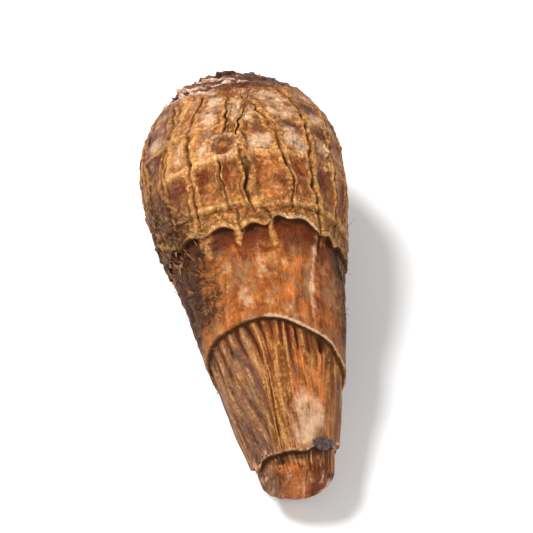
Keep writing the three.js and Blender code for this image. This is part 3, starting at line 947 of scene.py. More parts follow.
    def stain_and_shade_stub(self) -> None:
        """Stains the stub and paints shade just past the torn skin's edge, and darkens the flanks above it,
        partly as soil and partly as painted shade.
        """
        marks, stub, streak = self.marks, self.on_stub, self.streak
        marks["grey"] += 0.8 * stub * smooth(-self.around, 0.5, 0.9)
        # Painted shade just past the torn skin's edge.
        marks["dark"] += np.where(self.past_skin > 0, 0.5 * np.exp(-np.maximum(self.past_skin, 0) / 1.6), 0)
        marks["maroon"] += stub * (0.2 + 0.5 * smooth(-streak, 0.0, 0.3))
        marks["warm"] += 0.3 * stub * smooth(streak, -0.1, 0.3)
        marks["pale"] += stub * (0.5 * smooth(streak + 0.6 * self.other, 0.15, 0.5) + 0.1)
        marks["gold"] += 0.5 * stub * smooth(-self.broad + 0.6 * self.coarse, 0.1, 0.4)
        # The flanks are darker, partly as soil and partly as painted shade.
        soil_and_shade = 0.78 + 0.3 * self.coarse - 0.6 * smooth(self.ridged, 0.4, 0.85)
        marks["dark"] += (1 - stub) * self.flank * soil_and_shade

    def stain_bud(self) -> None:
        """Rings the side bud, and then clears the matted flanks of bright marks."""
        marks, far = self.marks, self.far
        ring = far - self.form.bud[2]
        marks["edge"] += 0.5 * bump(ring - 0.1, 0.7) * (0.8 + 0.4 * self.fine)
        marks["gold"] += 0.5 * bump(ring, 1.2)
        marks["plum"] += 0.85 * bump(far - 1.7, 0.9)
        marks["warm"] += 0.9 * bump(far, 0.9)
        marks["crack"] += 0.5 * bump(far - 1.1, 0.25) * smooth(self.fine, -0.4, 0.2)
        for name in ("warm", "pale", "maroon"):
            marks[name] *= 1 - 0.9 * self.flank

    def clear(self, where: np.ndarray, layer: Layer) -> None:
        """Takes every mark off some points, and gives them to one layer."""
        self.layer[where] = layer.value
        for values in self.marks.values():
            values[where] = 0.0

    def dress_cap(self, radius: np.ndarray, cap: np.ndarray) -> None:
        """Gives the crown's cap its own relief and marks.

        Args:
            radius: Each point's radius on the cap, in mm.
            cap: Which points are on it.
        """
        spots = self.blemishes
        cos, sin = np.cos(self.around), np.sin(self.around)
        across = np.stack([radius * cos, radius * sin, self.along], axis=1)
        rough = grainy(across, (0.5, 0.5, 0.5), 31)
        fine = grainy(across, (1.6, 1.6, 1.6), 32)
        rays = grainy(np.stack([2.2 * cos, 2.2 * sin, radius * 0.12], axis=1), (2.4, 2.4, 1.0), 33)
        scale = grainy(across, (0.9, 0.9, 0.9), 34)
        rings = grainy(np.stack([radius * 2.4, 1.6 * cos, 1.6 * sin], axis=1), (1, 1, 1), 36)
        open_cap = smooth(radius, 0.6, 2.5)
        ledge = sum(bump(radius - edge, 0.35) for edge in spots.cap_ledges)
        torn = laid(spots.torn_cap, np.zeros_like(radius), self.around)
        wobble = 0.35 * rough + 0.2 * rays
        lips = sum(bump(radius - edge + wobble, wide) for edge, wide in spots.cap_lips)
        creased = 0.5 * smooth(-rays, 0.1, 0.6) + 0.5 * smooth(-rings, 0.1, 0.5)
        self.clear(cap, Layer.CAP)
        self.grain[cap] = across[cap]
        self.height[cap] = (-(0.26 * rough + 0.18 * fine + 0.34 * rays + 0.5 * rings) * open_cap)[cap]
        shown = {
            "edge": lips * (0.2 + 0.6 * torn) * (0.6 + 1.2 * scale),
            "dark": 0.8 * ledge * (0.7 + 0.6 * scale) + 0.9 * bump(radius, 2.4) + creased,
            "plum": 0.35 + 0.5 * rough + 0.3 * smooth(-rings, 0.0, 0.4),
            "maroon": 0.45 - 0.5 * rough,
            "grey": 0.7 * smooth(rays + 0.5 * rings, 0.0, 0.5),
            "warm": 0.35 * smooth(rings - 0.4 * rays, 0.1, 0.5),
            "web": np.full_like(radius, 0.7),
        }
        for name, values in shown.items():
            self.marks[name][cap] = values[cap]

    def dress_stub(self, radius: np.ndarray, stub: np.ndarray) -> None:
        """Gives the stub's end its own relief and marks.

        Args:
            radius: Each point's radius on the end, in mm.
            stub: Which points are on it.
        """
        sideways, upward = radius * np.sin(self.around), radius * np.cos(self.around)
        across = np.stack([upward, sideways, self.along], axis=1)
        rough = grainy(across, (0.5, 0.5, 0.5), 31)
        fine = grainy(across, (1.6, 1.6, 1.6), 32)
        level = np.stack([sideways, upward, np.zeros_like(radius)], axis=1)
        lines = grainy(level, (1.1, 0.12, 1.0), 35, 3)
        rim = bump(radius - 6.1, 0.55) * smooth(0.4 * sideways - upward, -0.5, 3.0)
        carried = np.stack([np.full_like(radius, GRAIN_RADIUS), 2.0 * sideways, END_GRAIN - upward], axis=1)
        self.clear(stub, Layer.STUB)
        self.grain[stub] = carried[stub]
        self.height[stub] = ((0.16 * rough + 0.08 * fine) * smooth(radius, 0.5, 2))[stub]
        shown = {
            "warm": 0.75 * bump(sideways + 0.6, 3.0) + 0.3 * smooth(lines, 0.0, 0.4),
            "maroon": 0.7 * smooth(sideways, 0.5, 4.0) + 0.5 * smooth(-lines, 0.0, 0.4),
            "grey": 0.7 * smooth(-sideways, 2.0, 5.0),
            "edge": 0.85 * rim,
            "pale": 0.5 * smooth(lines + 0.4 * rough, 0.1, 0.5),
            "dark": 0.4 * smooth(fine, 0.1, 0.6),
        }
        for name, values in shown.items():
            self.marks[name][stub] = values[stub]


@dataclass
class CormSkin:
    """The corm's skin as one closed mesh, fine enough for its cracks and fibres."""

    form: CormForm = field(default_factory=CormForm)
    blemishes: Blemishes = Blemishes()
    cap_step: float = 0.42
    row_step: float = 0.36
    stub_steps: int = 4
    box_gap: float = 1e-6
    weld: float = 2e-7
    shortest: float = 1e-8
    shares: tuple[float, ...] = (
        0.0, 0.028, 0.06, 0.1, 0.15, 0.21, 0.29, 0.39, 0.5, 0.61, 0.71, 0.79, 0.85, 0.9, 0.94, 0.972,
    )
    cap_rows: tuple[tuple[float, float], ...] = (
        (0, -6.0), (1.9, -5.6), (2.7, -4.8), (6.2, -4.5), (7.0, -3.7), (10.0, -3.2), (10.8, -2.3),
        (13.1, -0.9), (13.9, 0.8),
    )
    skin_stations: tuple[float, ...] = (
        0, 16.5, 25.6, 35.9, 41.3, 41.38, 41.48, 41.6, 41.75, 66.1, 66.18, 66.28, 66.4, 66.55, 85.4, 85.48,
        85.6, 85.8, 90.6,
    )
    stub_rows: tuple[tuple[float, float], ...] = (
        (6.5, 91.6), (5.4, 92.2), (3.7, 92.5), (1.9, 92.6), (0, 92.6),
    )

    def rows(self) -> tuple[np.ndarray, np.ndarray, np.ndarray]:
        """The net's rows from the crown to the stub.

        Returns:
            Each row's distance along, its radius, and its zone's number.
        """
        table: list[tuple[float, float, int]] = []
        for (r, a), (r2, a2) in zip(self.cap_rows[:-1], self.cap_rows[1:]):
            count = max(2, round(math.hypot(r2 - r, a2 - a) / self.cap_step))
            table += [(a + (a2 - a) * t, r + (r2 - r) * t, Zone.CAP.value) for t in np.arange(count) / count]
        table.append((self.cap_rows[-1][1], self.cap_rows[-1][0], Zone.CAP.value))
        for low, high in zip(self.skin_stations[:-1], self.skin_stations[1:]):
            count = max(1, round((high - low) / self.row_step))
            table += [(low + (high - low) * t, 0.0, Zone.SKIN.value) for t in np.arange(count) / count]
        table.append((self.skin_stations[-1], 0.0, Zone.SKIN.value))
        steps = np.arange(self.stub_steps) / self.stub_steps
        for (r, a), (r2, a2) in zip(self.stub_rows[:-1], self.stub_rows[1:]):
            table += [(a + (a2 - a) * t, r + (r2 - r) * t, Zone.END.value) for t in steps]
        table.append((self.stub_rows[-1][1], 0.0, Zone.END.value))
        along, radius, kind = np.array(table).T
        return along, radius, kind

    def net(self, columns: int, rows: int) -> tuple[bpy.types.Mesh, np.ndarray, np.ndarray]:
        """Makes the flat net that the skin is laid with.

        Args:
            columns: How many points it has round the corm, the last one over the first.
            rows: How many points it has along the corm.

        Returns:
            The mesh, and each point's column and row.
        """
        made = bmesh.new()
        bmesh.ops.create_grid(made, x_segments=columns - 1, y_segments=rows - 1, size=0.5)
        mesh = bpy.data.meshes.new(NODE + "_skin")
        made.to_mesh(mesh)
        made.free()
        spots = np.zeros(len(mesh.vertices) * 3)
        mesh.vertices.foreach_get("co", spots)
        spots = spots.reshape(-1, 3)
        column = np.rint((spots[:, 0] + 0.5) * (columns - 1)).astype(int)
        row = np.rint((spots[:, 1] + 0.5) * (rows - 1)).astype(int)
        return mesh, column, row

    def build(self) -> bpy.types.Object:
        """Makes the skin's mesh, with the marks as attributes.

        Returns:
            The corm's object.
        """
        form = self.form
        row_along, row_radius, row_kind = self.rows()
        angles = np.array([form.step * (n + s) for n in range(form.cracks) for s in self.shares])
        mesh, column, row = self.net(len(angles) + 1, len(row_along))
        along, radius, kind = row_along[row], row_radius[row], row_kind[row]
        around = angles[column % len(angles)]
        around = np.where(around > math.pi, around - TURN, around)

        relief = Relief(form, self.blemishes, along, around)
        relief.work()
        turned = around + form.wander(along, around)
        shifted = along + form.shift(along, around)
        girth = form.radius(shifted) * form.lobes(shifted, turned) + relief.height
        skin = form.place(shifted, turned, girth)

        cap, on_skin = kind == Zone.CAP.value, kind == Zone.SKIN.value
        relief.dress_cap(radius, cap)
        relief.dress_stub(radius, kind == Zone.END.value)
        spread = smooth(radius, 1, 8)
        fold = np.where(cap, 0.4, 0.3) * spread * waver(around, 0, radius)
        in_cap = np.where(cap, radius / form.crown_radius, 0)
        tilt = form.crown_tilt * in_cap * np.cos(around)
        widen = form.cap_widen * in_cap * np.maximum(0, np.cos(around))
        girth = radius * (1 + widen + spread * (form.lobes(along, turned) - 1))
        ends = form.place(along + fold + tilt + relief.height * np.where(on_skin, 0, 1), turned, girth)
        points = np.where(on_skin[:, None], skin, ends) * MM
        low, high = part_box(NODE)
        points = np.clip(points, np.array(low) + self.box_gap, np.array(high) - self.box_gap)
        mesh.vertices.foreach_set("co", points.ravel())

        relief.marks["layer"] = relief.layer / Layer.STUB.value
        self.store(mesh, "grain", relief.grain * 0.1)
        for name, kept in STORED.items():
            self.store(mesh, name, np.stack([relief.marks[mark] for mark in kept], axis=1))
        return self.close(mesh)

    def store(self, mesh: bpy.types.Mesh, name: str, values: np.ndarray) -> None:
        """Keeps three numbers a vertex on the mesh.

        Args:
            mesh: The mesh.
            name: The attribute's name.
            values: One row a vertex.
        """
        layer = mesh.attributes.new(name, "FLOAT_VECTOR", "POINT")
        layer.data.foreach_set("vector", values.astype(np.float32).ravel())

    def close(self, mesh: bpy.types.Mesh) -> bpy.types.Object:
        """Joins the net's seam and poles, and turns its faces outwards.

        Args:
            mesh: The net with its points in place.

        Returns:
            The corm's object.
        """
        made = bmesh.new()
        made.from_mesh(mesh)
        bmesh.ops.remove_doubles(made, verts=made.verts, dist=self.weld)
        bmesh.ops.dissolve_degenerate(made, edges=made.edges, dist=self.shortest)
        bmesh.ops.recalc_face_normals(made, faces=made.faces)
        for face in made.faces:
            face.smooth = True
        LOG.info("skin: %d faces, open edges %d", len(made.faces), sum(e.is_boundary for e in made.edges))
        made.to_mesh(mesh)
        made.free()
        corm = bpy.data.objects.new(NODE + "_skin", mesh)
        bpy.context.collection.objects.link(corm)
        return corm


class Graph:
    """Small helper that puts shader nodes in a material."""

    MIX_SHARE = 0
    MIX_FIRST = 6
    MIX_SECOND = 7
    MIX_COLOUR = 2

    def __init__(self, name: str) -> None:
        """Starts an empty material with a shader and an output."""
        self.material = bpy.data.materials.new(name)
        self.material.use_nodes = True
        self.tree = self.material.node_tree
        self.tree.nodes.clear()
        self.output = self.tree.nodes.new("ShaderNodeOutputMaterial")
        self.shader = self.tree.nodes.new("ShaderNodeBsdfPrincipled")
        self.link(self.shader.outputs["BSDF"], self.output.inputs["Surface"])

    def link(self, source: bpy.types.NodeSocket, target: bpy.types.NodeSocket) -> None:
        """Joins two sockets."""
        self.tree.links.new(source, target)

    def put(self, socket: bpy.types.NodeSocket, value: object) -> None:
        """Joins a socket to another, or sets its value."""
        if isinstance(value, bpy.types.NodeSocket):
            self.link(value, socket)
        else:
            socket.default_value = value

    def stored(self, name: str) -> bpy.types.NodeSocket:
        """Reads an attribute kept on the mesh."""
        node = self.tree.nodes.new("ShaderNodeAttribute")
        node.attribute_name = name
        return node.outputs["Vector"]

    def place(self) -> bpy.types.NodeSocket:
        """The object's own coordinates."""
        return self.tree.nodes.new("ShaderNodeTexCoord").outputs["Object"]

    def split(self, vector: bpy.types.NodeSocket) -> list[bpy.types.NodeSocket]:
        """The three numbers of a vector."""
        node = self.tree.nodes.new("ShaderNodeSeparateXYZ")
        self.link(vector, node.inputs[0])
        return [node.outputs[0], node.outputs[1], node.outputs[2]]

    def stretch(
        self, vector: bpy.types.NodeSocket, scale: tuple[float, float, float]
    ) -> bpy.types.NodeSocket:
        """A vector scaled along each axis.

        Args:
            vector: The vector.
            scale: How far it is scaled along each axis.

        Returns:
            The scaled vector.
        """
        node = self.tree.nodes.new("ShaderNodeMapping")
        self.link(vector, node.inputs["Vector"])
        node.inputs["Scale"].default_value = scale
        return node.outputs["Vector"]

    def noise(
        self, vector: bpy.types.NodeSocket, scale: float, detail: float, rough: float, twist: float = 0.0
    ) -> bpy.types.NodeSocket:
        """A noise between 0 and 1 on a vector.

        Args:
            vector: Where it is read.
            scale: Cells to each unit.
            detail: How many finer copies are added.
            rough: How strong they are.
            twist: How far it is distorted.

        Returns:
            The noise's value.
        """
        node = self.tree.nodes.new("ShaderNodeTexNoise")
        self.link(vector, node.inputs["Vector"])
        node.inputs["Scale"].default_value = scale
        node.inputs["Detail"].default_value = detail
        node.inputs["Roughness"].default_value = rough
        node.inputs["Distortion"].default_value = twist
        return node.outputs["Fac"]

    def span(
        self, value: bpy.types.NodeSocket, low: float, high: float, first: float = 0.0, last: float = 1.0
    ) -> bpy.types.NodeSocket:
        """A value moved smoothly from one range to another, and held at its ends.

        Args:
            value: The value.
            low: Where it starts to change.
            high: Where it stops.
            first: What it gives up to low.
            last: What it gives from high on.

        Returns:
            The new value.
        """
        node = self.tree.nodes.new("ShaderNodeMapRange")
        node.interpolation_type = "SMOOTHSTEP"
        self.link(value, node.inputs["Value"])
        for name, number in (("From Min", low), ("From Max", high), ("To Min", first), ("To Max", last)):
            node.inputs[name].default_value = number
        return node.outputs["Result"]

    def times(self, first: object, second: object) -> bpy.types.NodeSocket:
        """The product of two numbers."""
        return self.sum("MULTIPLY", first, second)

    def sum(self, kind: str, first: object, second: object, clamp: bool = False) -> bpy.types.NodeSocket:
        """One step of arithmetic on two numbers.

        Args:
            kind: Which step.
            first: The first number.
            second: The second number.
            clamp: Whether the result is held between 0 and 1.

        Returns:
            The result.
        """
        node = self.tree.nodes.new("ShaderNodeMath")
        node.operation = kind
        node.use_clamp = clamp
        self.put(node.inputs[0], first)
        self.put(node.inputs[1], second)
        return node.outputs[0]

    def mix(self, share: object, first: object, second: object, blend: str = "MIX") -> bpy.types.NodeSocket:
        """One colour over another.

        Args:
            share: How much of the second shows.
            first: The colour below.
            second: The colour above.
            blend: How they are joined.

        Returns:
            The joined colour.
        """
        node = self.tree.nodes.new("ShaderNodeMix")
        node.data_type = "RGBA"
        node.blend_type = blend
        for slot, value in zip((self.MIX_SHARE, self.MIX_FIRST, self.MIX_SECOND), (share, first, second)):
            self.put(node.inputs[slot], value)
        return node.outputs[self.MIX_COLOUR]

    def ramp(self, value: bpy.types.NodeSocket, stops: list[tuple[float, Tint]]) -> bpy.types.NodeSocket:
        """A colour picked by a value.

        Args:
            value: From 0 to 1.
            stops: Where each colour stands.

        Returns:
            The colour.
        """
        node = self.tree.nodes.new("ShaderNodeValToRGB")
        self.link(value, node.inputs["Fac"])
        elements = node.color_ramp.elements
        while len(elements) < len(stops):
            elements.new(0.5)
        for element, (place, tint) in zip(elements, stops):
            element.position = place
            element.color = tint.linear()
        return node.outputs["Color"]

    def bump(self, height: bpy.types.NodeSocket, distance: float, strength: float) -> None:
        """Gives the shader a fine relief.

        Args:
            height: The relief.
            distance: How deep it is, in metres.
            strength: How strongly it shows.
        """
        node = self.tree.nodes.new("ShaderNodeBump")
        node.inputs["Strength"].default_value = strength
        node.inputs["Distance"].default_value = distance
        self.link(height, node.inputs["Height"])
        self.link(node.outputs["Normal"], self.shader.inputs["Normal"])


@dataclass
class SkinNodes:
    """The skin's material in the making: its graph, the marks kept on the mesh, and its noises."""

    graph: Graph
    marks: dict[str, bpy.types.NodeSocket] = field(default_factory=dict)
    noise: dict[str, bpy.types.NodeSocket] = field(default_factory=dict)

    def __post_init__(self) -> None:
        """Reads the marks, and lays the noises over the skin or along its fibres."""
        graph = self.graph
        self.grain = graph.stored("grain")
        for name, kept in STORED.items():
            self.marks.update(zip(kept, graph.split(graph.stored(name))))
        place = graph.stretch(graph.place(), (100.0, 100.0, 100.0))
        self.noise["mottle"] = graph.noise(place, 3.6, 5.0, 0.62, 0.3)
        self.noise["grit"] = graph.noise(place, 13.0, 4.0, 0.65)
        self.noise["fleck"] = graph.noise(graph.stretch(self.grain, (1.0, 1.0, 0.55)), 24.0, 3.0, 0.6)
        self.noise["streak"] = graph.noise(graph.stretch(self.grain, (6.5, 6.5, 1.2)), 1.3, 5.0, 0.6, 0.4)
        self.noise["thread"] = graph.noise(graph.stretch(self.grain, (26.0, 26.0, 3.4)), 1.2, 4.0, 0.6)
        soft = self.marks["soft"]
        fibrous = graph.span(self.marks["layer"], 0.3, 0.5, 0.25, 1.0)
        self.fibrous = graph.times(fibrous, graph.span(soft, 0.0, 1.0, 1.0, 0.4))
        self.rugged = graph.sum("SUBTRACT", 1.0, graph.sum("MULTIPLY", soft, 1.0, clamp=True))


@dataclass(frozen=True)
class SkinFinish:
    """The corm's dry skin: its layers' colours, mottled and streaked, with scars, stains and painted shade
    over them.
    """

    cap: Tint = Tint(112, 62, 42)
    bark: Tint = Tint(158, 98, 48)
    collar: Tint = Tint(160, 88, 36)
    neck: Tint = Tint(142, 84, 38)
    stub: Tint = Tint(142, 76, 34)
    light: Tint = Tint(208, 152, 92)
    shade: Tint = Tint(102, 50, 14)
    pale: Tint = Tint(228, 188, 152)
    warm: Tint = Tint(200, 112, 54)
    # Dark red for stains, and also for painted shade under the bark's edge and in the neck's gaps and
    # valleys.
    maroon: Tint = Tint(92, 32, 8)
    plum: Tint = Tint(94, 58, 50)
    grey: Tint = Tint(130, 100, 74)
    gold: Tint = Tint(208, 152, 90)
    # Brown-black for soil and dark stains, and for painted shade at the feet of lips, under edges, in gaps
    # and on the flanks.
    soil_and_shade: Tint = Tint(48, 22, 4)
    # Dark brown for the cracks, and for painted shade in the gap under each layer's edge.
    crack: Tint = Tint(58, 31, 12)
    specular: float = 0.1
    relief: float = 0.0006

    def build(self) -> bpy.types.Material:
        """Makes the material.

        Returns:
            The skin's material.
        """
        nodes = SkinNodes(Graph("taro_skin"))
        graph, noise = nodes.graph, nodes.noise
        crackle = graph.times(self.crackle(nodes), nodes.marks["web"])
        # The crack mark also holds painted shade in the gap under each layer's edge.
        cracks = graph.sum("MULTIPLY", nodes.marks["crack"], 1.15, clamp=True)
        lines = graph.sum("MAXIMUM", cracks, crackle)
        colour = self.stained(nodes, self.streaked(nodes))
        colour = graph.mix(graph.times(lines, 0.95), colour, self.crack.linear())
        graph.link(self.toned(nodes, colour), graph.shader.inputs["Base Color"])
        rough = graph.sum("ADD", graph.span(noise["mottle"], 0.3, 0.7, 0.4, 0.65), graph.times(lines, 0.25))
        graph.link(rough, graph.shader.inputs["Roughness"])
        graph.shader.inputs["Specular IOR Level"].default_value = self.specular
        height = graph.sum("ADD", graph.times(noise["thread"], 0.5), graph.times(noise["fleck"], 0.6))
        height = graph.sum("ADD", height, graph.times(noise["grit"], 0.8))
        height = graph.sum("SUBTRACT", height, graph.times(crackle, 0.8))
        graph.bump(height, self.relief, 1.0)
        return graph.material

    def streaked(self, nodes: SkinNodes) -> bpy.types.NodeSocket:
        """The layers' own colours, mottled, flecked and streaked.

        Args:
            nodes: The material in the making.

        Returns:
            The colour.
        """
        graph, noise = nodes.graph, nodes.noise
        tints = {
            Layer.CAP: self.cap,
            Layer.BARK: self.bark,
            Layer.COLLAR: self.collar,
            Layer.NECK: self.neck,
            Layer.STUB: self.stub,
        }
        stops = [(layer.value / Layer.STUB.value, tint) for layer, tint in tints.items()]
        colour = graph.ramp(nodes.marks["layer"], stops)
        light_fleck = graph.times(graph.span(noise["grit"], 0.54, 0.64, 0.0, 0.5), nodes.rugged)
        dark_fleck = graph.times(graph.span(noise["grit"], 0.46, 0.36, 0.0, 0.45), nodes.rugged)
        light_streak = graph.times(graph.span(noise["streak"], 0.5, 0.66), nodes.fibrous)
        dark_streak = graph.times(graph.span(noise["streak"], 0.48, 0.34), nodes.fibrous)
        for share, tint in (
            (graph.span(noise["mottle"], 0.5, 0.68, 0.0, 0.55), self.light),
            (graph.span(noise["mottle"], 0.5, 0.34, 0.0, 0.6), self.shade),
            (dark_fleck, self.shade),
            (light_fleck, self.light),
            (graph.times(light_streak, 0.7), self.light),
            (graph.times(dark_streak, 0.8), self.shade),
        ):
            colour = graph.mix(share, colour, tint.linear())
        return colour

    def stained(self, nodes: SkinNodes, colour: bpy.types.NodeSocket) -> bpy.types.NodeSocket:
        """The marks laid over a colour, each broken up by a noise.

        Args:
            nodes: The material in the making.
            colour: The colour below.

        Returns:
            The colour with its marks.
        """
        graph, marks = nodes.graph, nodes.marks
        streak, mottle, grit = nodes.noise["streak"], nodes.noise["mottle"], nodes.noise["grit"]
        patchy = graph.mix(graph.times(graph.span(marks["layer"], 0.3, 0.5), nodes.rugged), mottle, streak)
        for mark, noise, tint, most in (
            (marks["grey"], streak, self.grey, 0.8),
            (marks["maroon"], patchy, self.maroon, 0.85),
            (marks["warm"], patchy, self.warm, 0.85),
            (marks["plum"], mottle, self.plum, 0.85),
            (marks["pale"], patchy, self.pale, 0.72),
            (marks["gold"], grit, self.gold, 0.8),
            (marks["dark"], grit, self.soil_and_shade, 0.88),
            (marks["edge"], grit, self.pale, 0.85),
        ):
            loose = graph.sum("ADD", mark, graph.times(graph.sum("SUBTRACT", noise, 0.5), 1.7))
            shown = graph.times(graph.span(loose, 0.1, 1.0, 0.0, most), graph.span(mark, 0.03, 0.3))
            colour = graph.mix(shown, colour, tint.linear())
        return colour

    def toned(self, nodes: SkinNodes, colour: bpy.types.NodeSocket) -> bpy.types.NodeSocket:
        """A colour made lighter and darker by fine grain, and less so where the skin is soft.

        Args:
            nodes: The material in the making.
            colour: The colour below.

        Returns:
            The toned colour.
        """
        graph, noise = nodes.graph, nodes.noise
        gritty = graph.span(noise["grit"], 0.3, 0.7, 0.64, 1.34)
        threaded = graph.span(noise["thread"], 0.28, 0.72, 0.7, 1.28)
        tone = graph.mix(nodes.fibrous, gritty, threaded)
        tone = graph.times(tone, graph.span(noise["fleck"], 0.28, 0.72, 0.76, 1.22))
        even = graph.sum("MULTIPLY", nodes.marks["soft"], 0.8, clamp=True)
        tone = graph.mix(even, tone, (1.0, 1.0, 1.0, 1.0))
        shade = graph.tree.nodes.new("ShaderNodeCombineXYZ")
        for socket in shade.inputs:
            graph.link(tone, socket)
        return graph.mix(1.0, colour, shade.outputs[0], "MULTIPLY")

    def crackle(self, nodes: SkinNodes) -> bpy.types.NodeSocket:
        """Fine dark lines between small scales of dry bark.

        Args:
            nodes: The material in the making.

        Returns:
            How strongly the lines show.
        """
        graph, grit = nodes.graph, nodes.noise["grit"]
        offset = graph.tree.nodes.new("ShaderNodeVectorMath")
        offset.operation = "ADD"
        graph.link(graph.stretch(nodes.grain, (4.6, 4.6, 2.9)), offset.inputs[0])
        graph.link(graph.times(grit, 0.9), offset.inputs[1])
        cells = graph.tree.nodes.new("ShaderNodeTexVoronoi")
        cells.feature = "DISTANCE_TO_EDGE"
        cells.inputs["Randomness"].default_value = 1.0
        cells.inputs["Scale"].default_value = 1.0
        graph.link(offset.outputs[0], cells.inputs["Vector"])
        lines = graph.span(cells.outputs["Distance"], 0.012, 0.085, 1.0, 0.0)
        return graph.times(lines, graph.span(grit, 0.35, 0.6))


@dataclass(frozen=True)
class ThinFinish:
    """A thin dry scrap of the corm: a root hair, a scale of bark or a torn sheath."""

    name: str
    base: Tint
    other: Tint
    rough: float = 0.7

    def build(self) -> bpy.types.Material:
        """Makes the material.

        Returns:
            The scrap's material.
        """
        graph = Graph(self.name)
        place = graph.place()
        wide = graph.noise(place, 900.0, 4.0, 0.6)
        fine = graph.noise(place, 4200.0, 3.0, 0.6)
        colour = graph.mix(graph.span(wide, 0.35, 0.65), self.base.linear(), self.other.linear())
        colour = graph.mix(graph.span(fine, 0.55, 0.7, 0.0, 0.4), colour, self.base.linear())
        graph.link(colour, graph.shader.inputs["Base Color"])
        graph.shader.inputs["Roughness"].default_value = self.rough
        graph.shader.inputs["Specular IOR Level"].default_value = 0.35
        graph.bump(fine, 0.0001, 0.6)
        return graph.material


def finish_piece(made: bmesh.types.BMesh, name: str, material: bpy.types.Material) -> bpy.types.Object:
    """Turns a bmesh into a piece that rides on the corm's body.

    Args:
        made: The piece's shape, in the row frame.
        name: The piece's name.
        material: Its finish.

    Returns:
        The piece's object.
    """
    bmesh.ops.recalc_face_normals(made, faces=made.faces)
    for face in made.faces:
        face.smooth = True
    mesh = bpy.data.meshes.new(name)
    made.to_mesh(mesh)
    made.free()
    mesh.materials.append(material)
    piece = bpy.data.objects.new(name, mesh)
    bpy.context.collection.objects.link(piece)
    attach(piece, BODY)
    LOG.info("%s: %d faces", name, len(mesh.polygons))
    return piece


@dataclass
class SkinGround:
    """Where a scrap can stand on the corm."""

    form: CormForm
    low: Vector = field(default_factory=lambda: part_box(NODE)[0])
    high: Vector = field(default_factory=lambda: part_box(NODE)[1])

    def inside(self, spot: Vector) -> Vector:
        """A point held inside the corm's own box."""
        return Vector(min(max(spot[i], self.low[i] + 2e-5), self.high[i] - 2e-5) for i in range(3))

    def points(self, along: np.ndarray, around: np.ndarray, above: np.ndarray) -> np.ndarray:
        """Points over the bare outline.

        Args:
            along: Distance along, in mm.
            around: Angle round the corm.
            above: How far over the outline, in mm.

        Returns:
            One row a point, in metres.
        """
        form = self.form
        return form.place(along, around, form.radius(along) * form.lobes(along, around) + above) * MM

    def cap_points(self, radius: np.ndarray, along: np.ndarray, around: np.ndarray) -> np.ndarray:
        """Points over the crown's cap.

        Args:
            radius: Distance from the corm's axis, in mm.
            along: Distance along, in mm, before the cap's tilt.
            around: Angle round the corm.

        Returns:
            One row a point, in metres.
        """
        share = radius / self.form.crown_radius
        tilt = self.form.crown_tilt * share * np.cos(around)
        widen = 1 + self.form.cap_widen * share * np.maximum(0, np.cos(around))
        return self.form.place(along + tilt, around, radius * widen) * MM

    def frame(self, along: float, around: float, above: float = 0.0) -> Matrix:
        """A frame on the skin: X runs round, Y runs towards the cut end and Z points out.

        Args:
            along: Distance along, in mm.
            around: Angle round the corm.
            above: How far over the bare outline its origin is, in mm.

        Returns:
            The frame, in metres.
        """
        a = np.array([along, along + 0.4, along])
        t = np.array([around, around, around + 0.02])
        spots = self.form.place(a, t, self.form.radius(a) * self.form.lobes(a, t) + above) * MM
        origin = Vector(spots[0])
        down = (Vector(spots[1]) - origin).normalized()
        across = (Vector(spots[2]) - origin).normalized()
        out = across.cross(down).normalized()
        across = down.cross(out)
        return Matrix(
            (
                (across.x, down.x, out.x, origin.x),
                (across.y, down.y, out.y, origin.y),
                (across.z, down.z, out.z, origin.z),
                (0, 0, 0, 1),
            )
        )


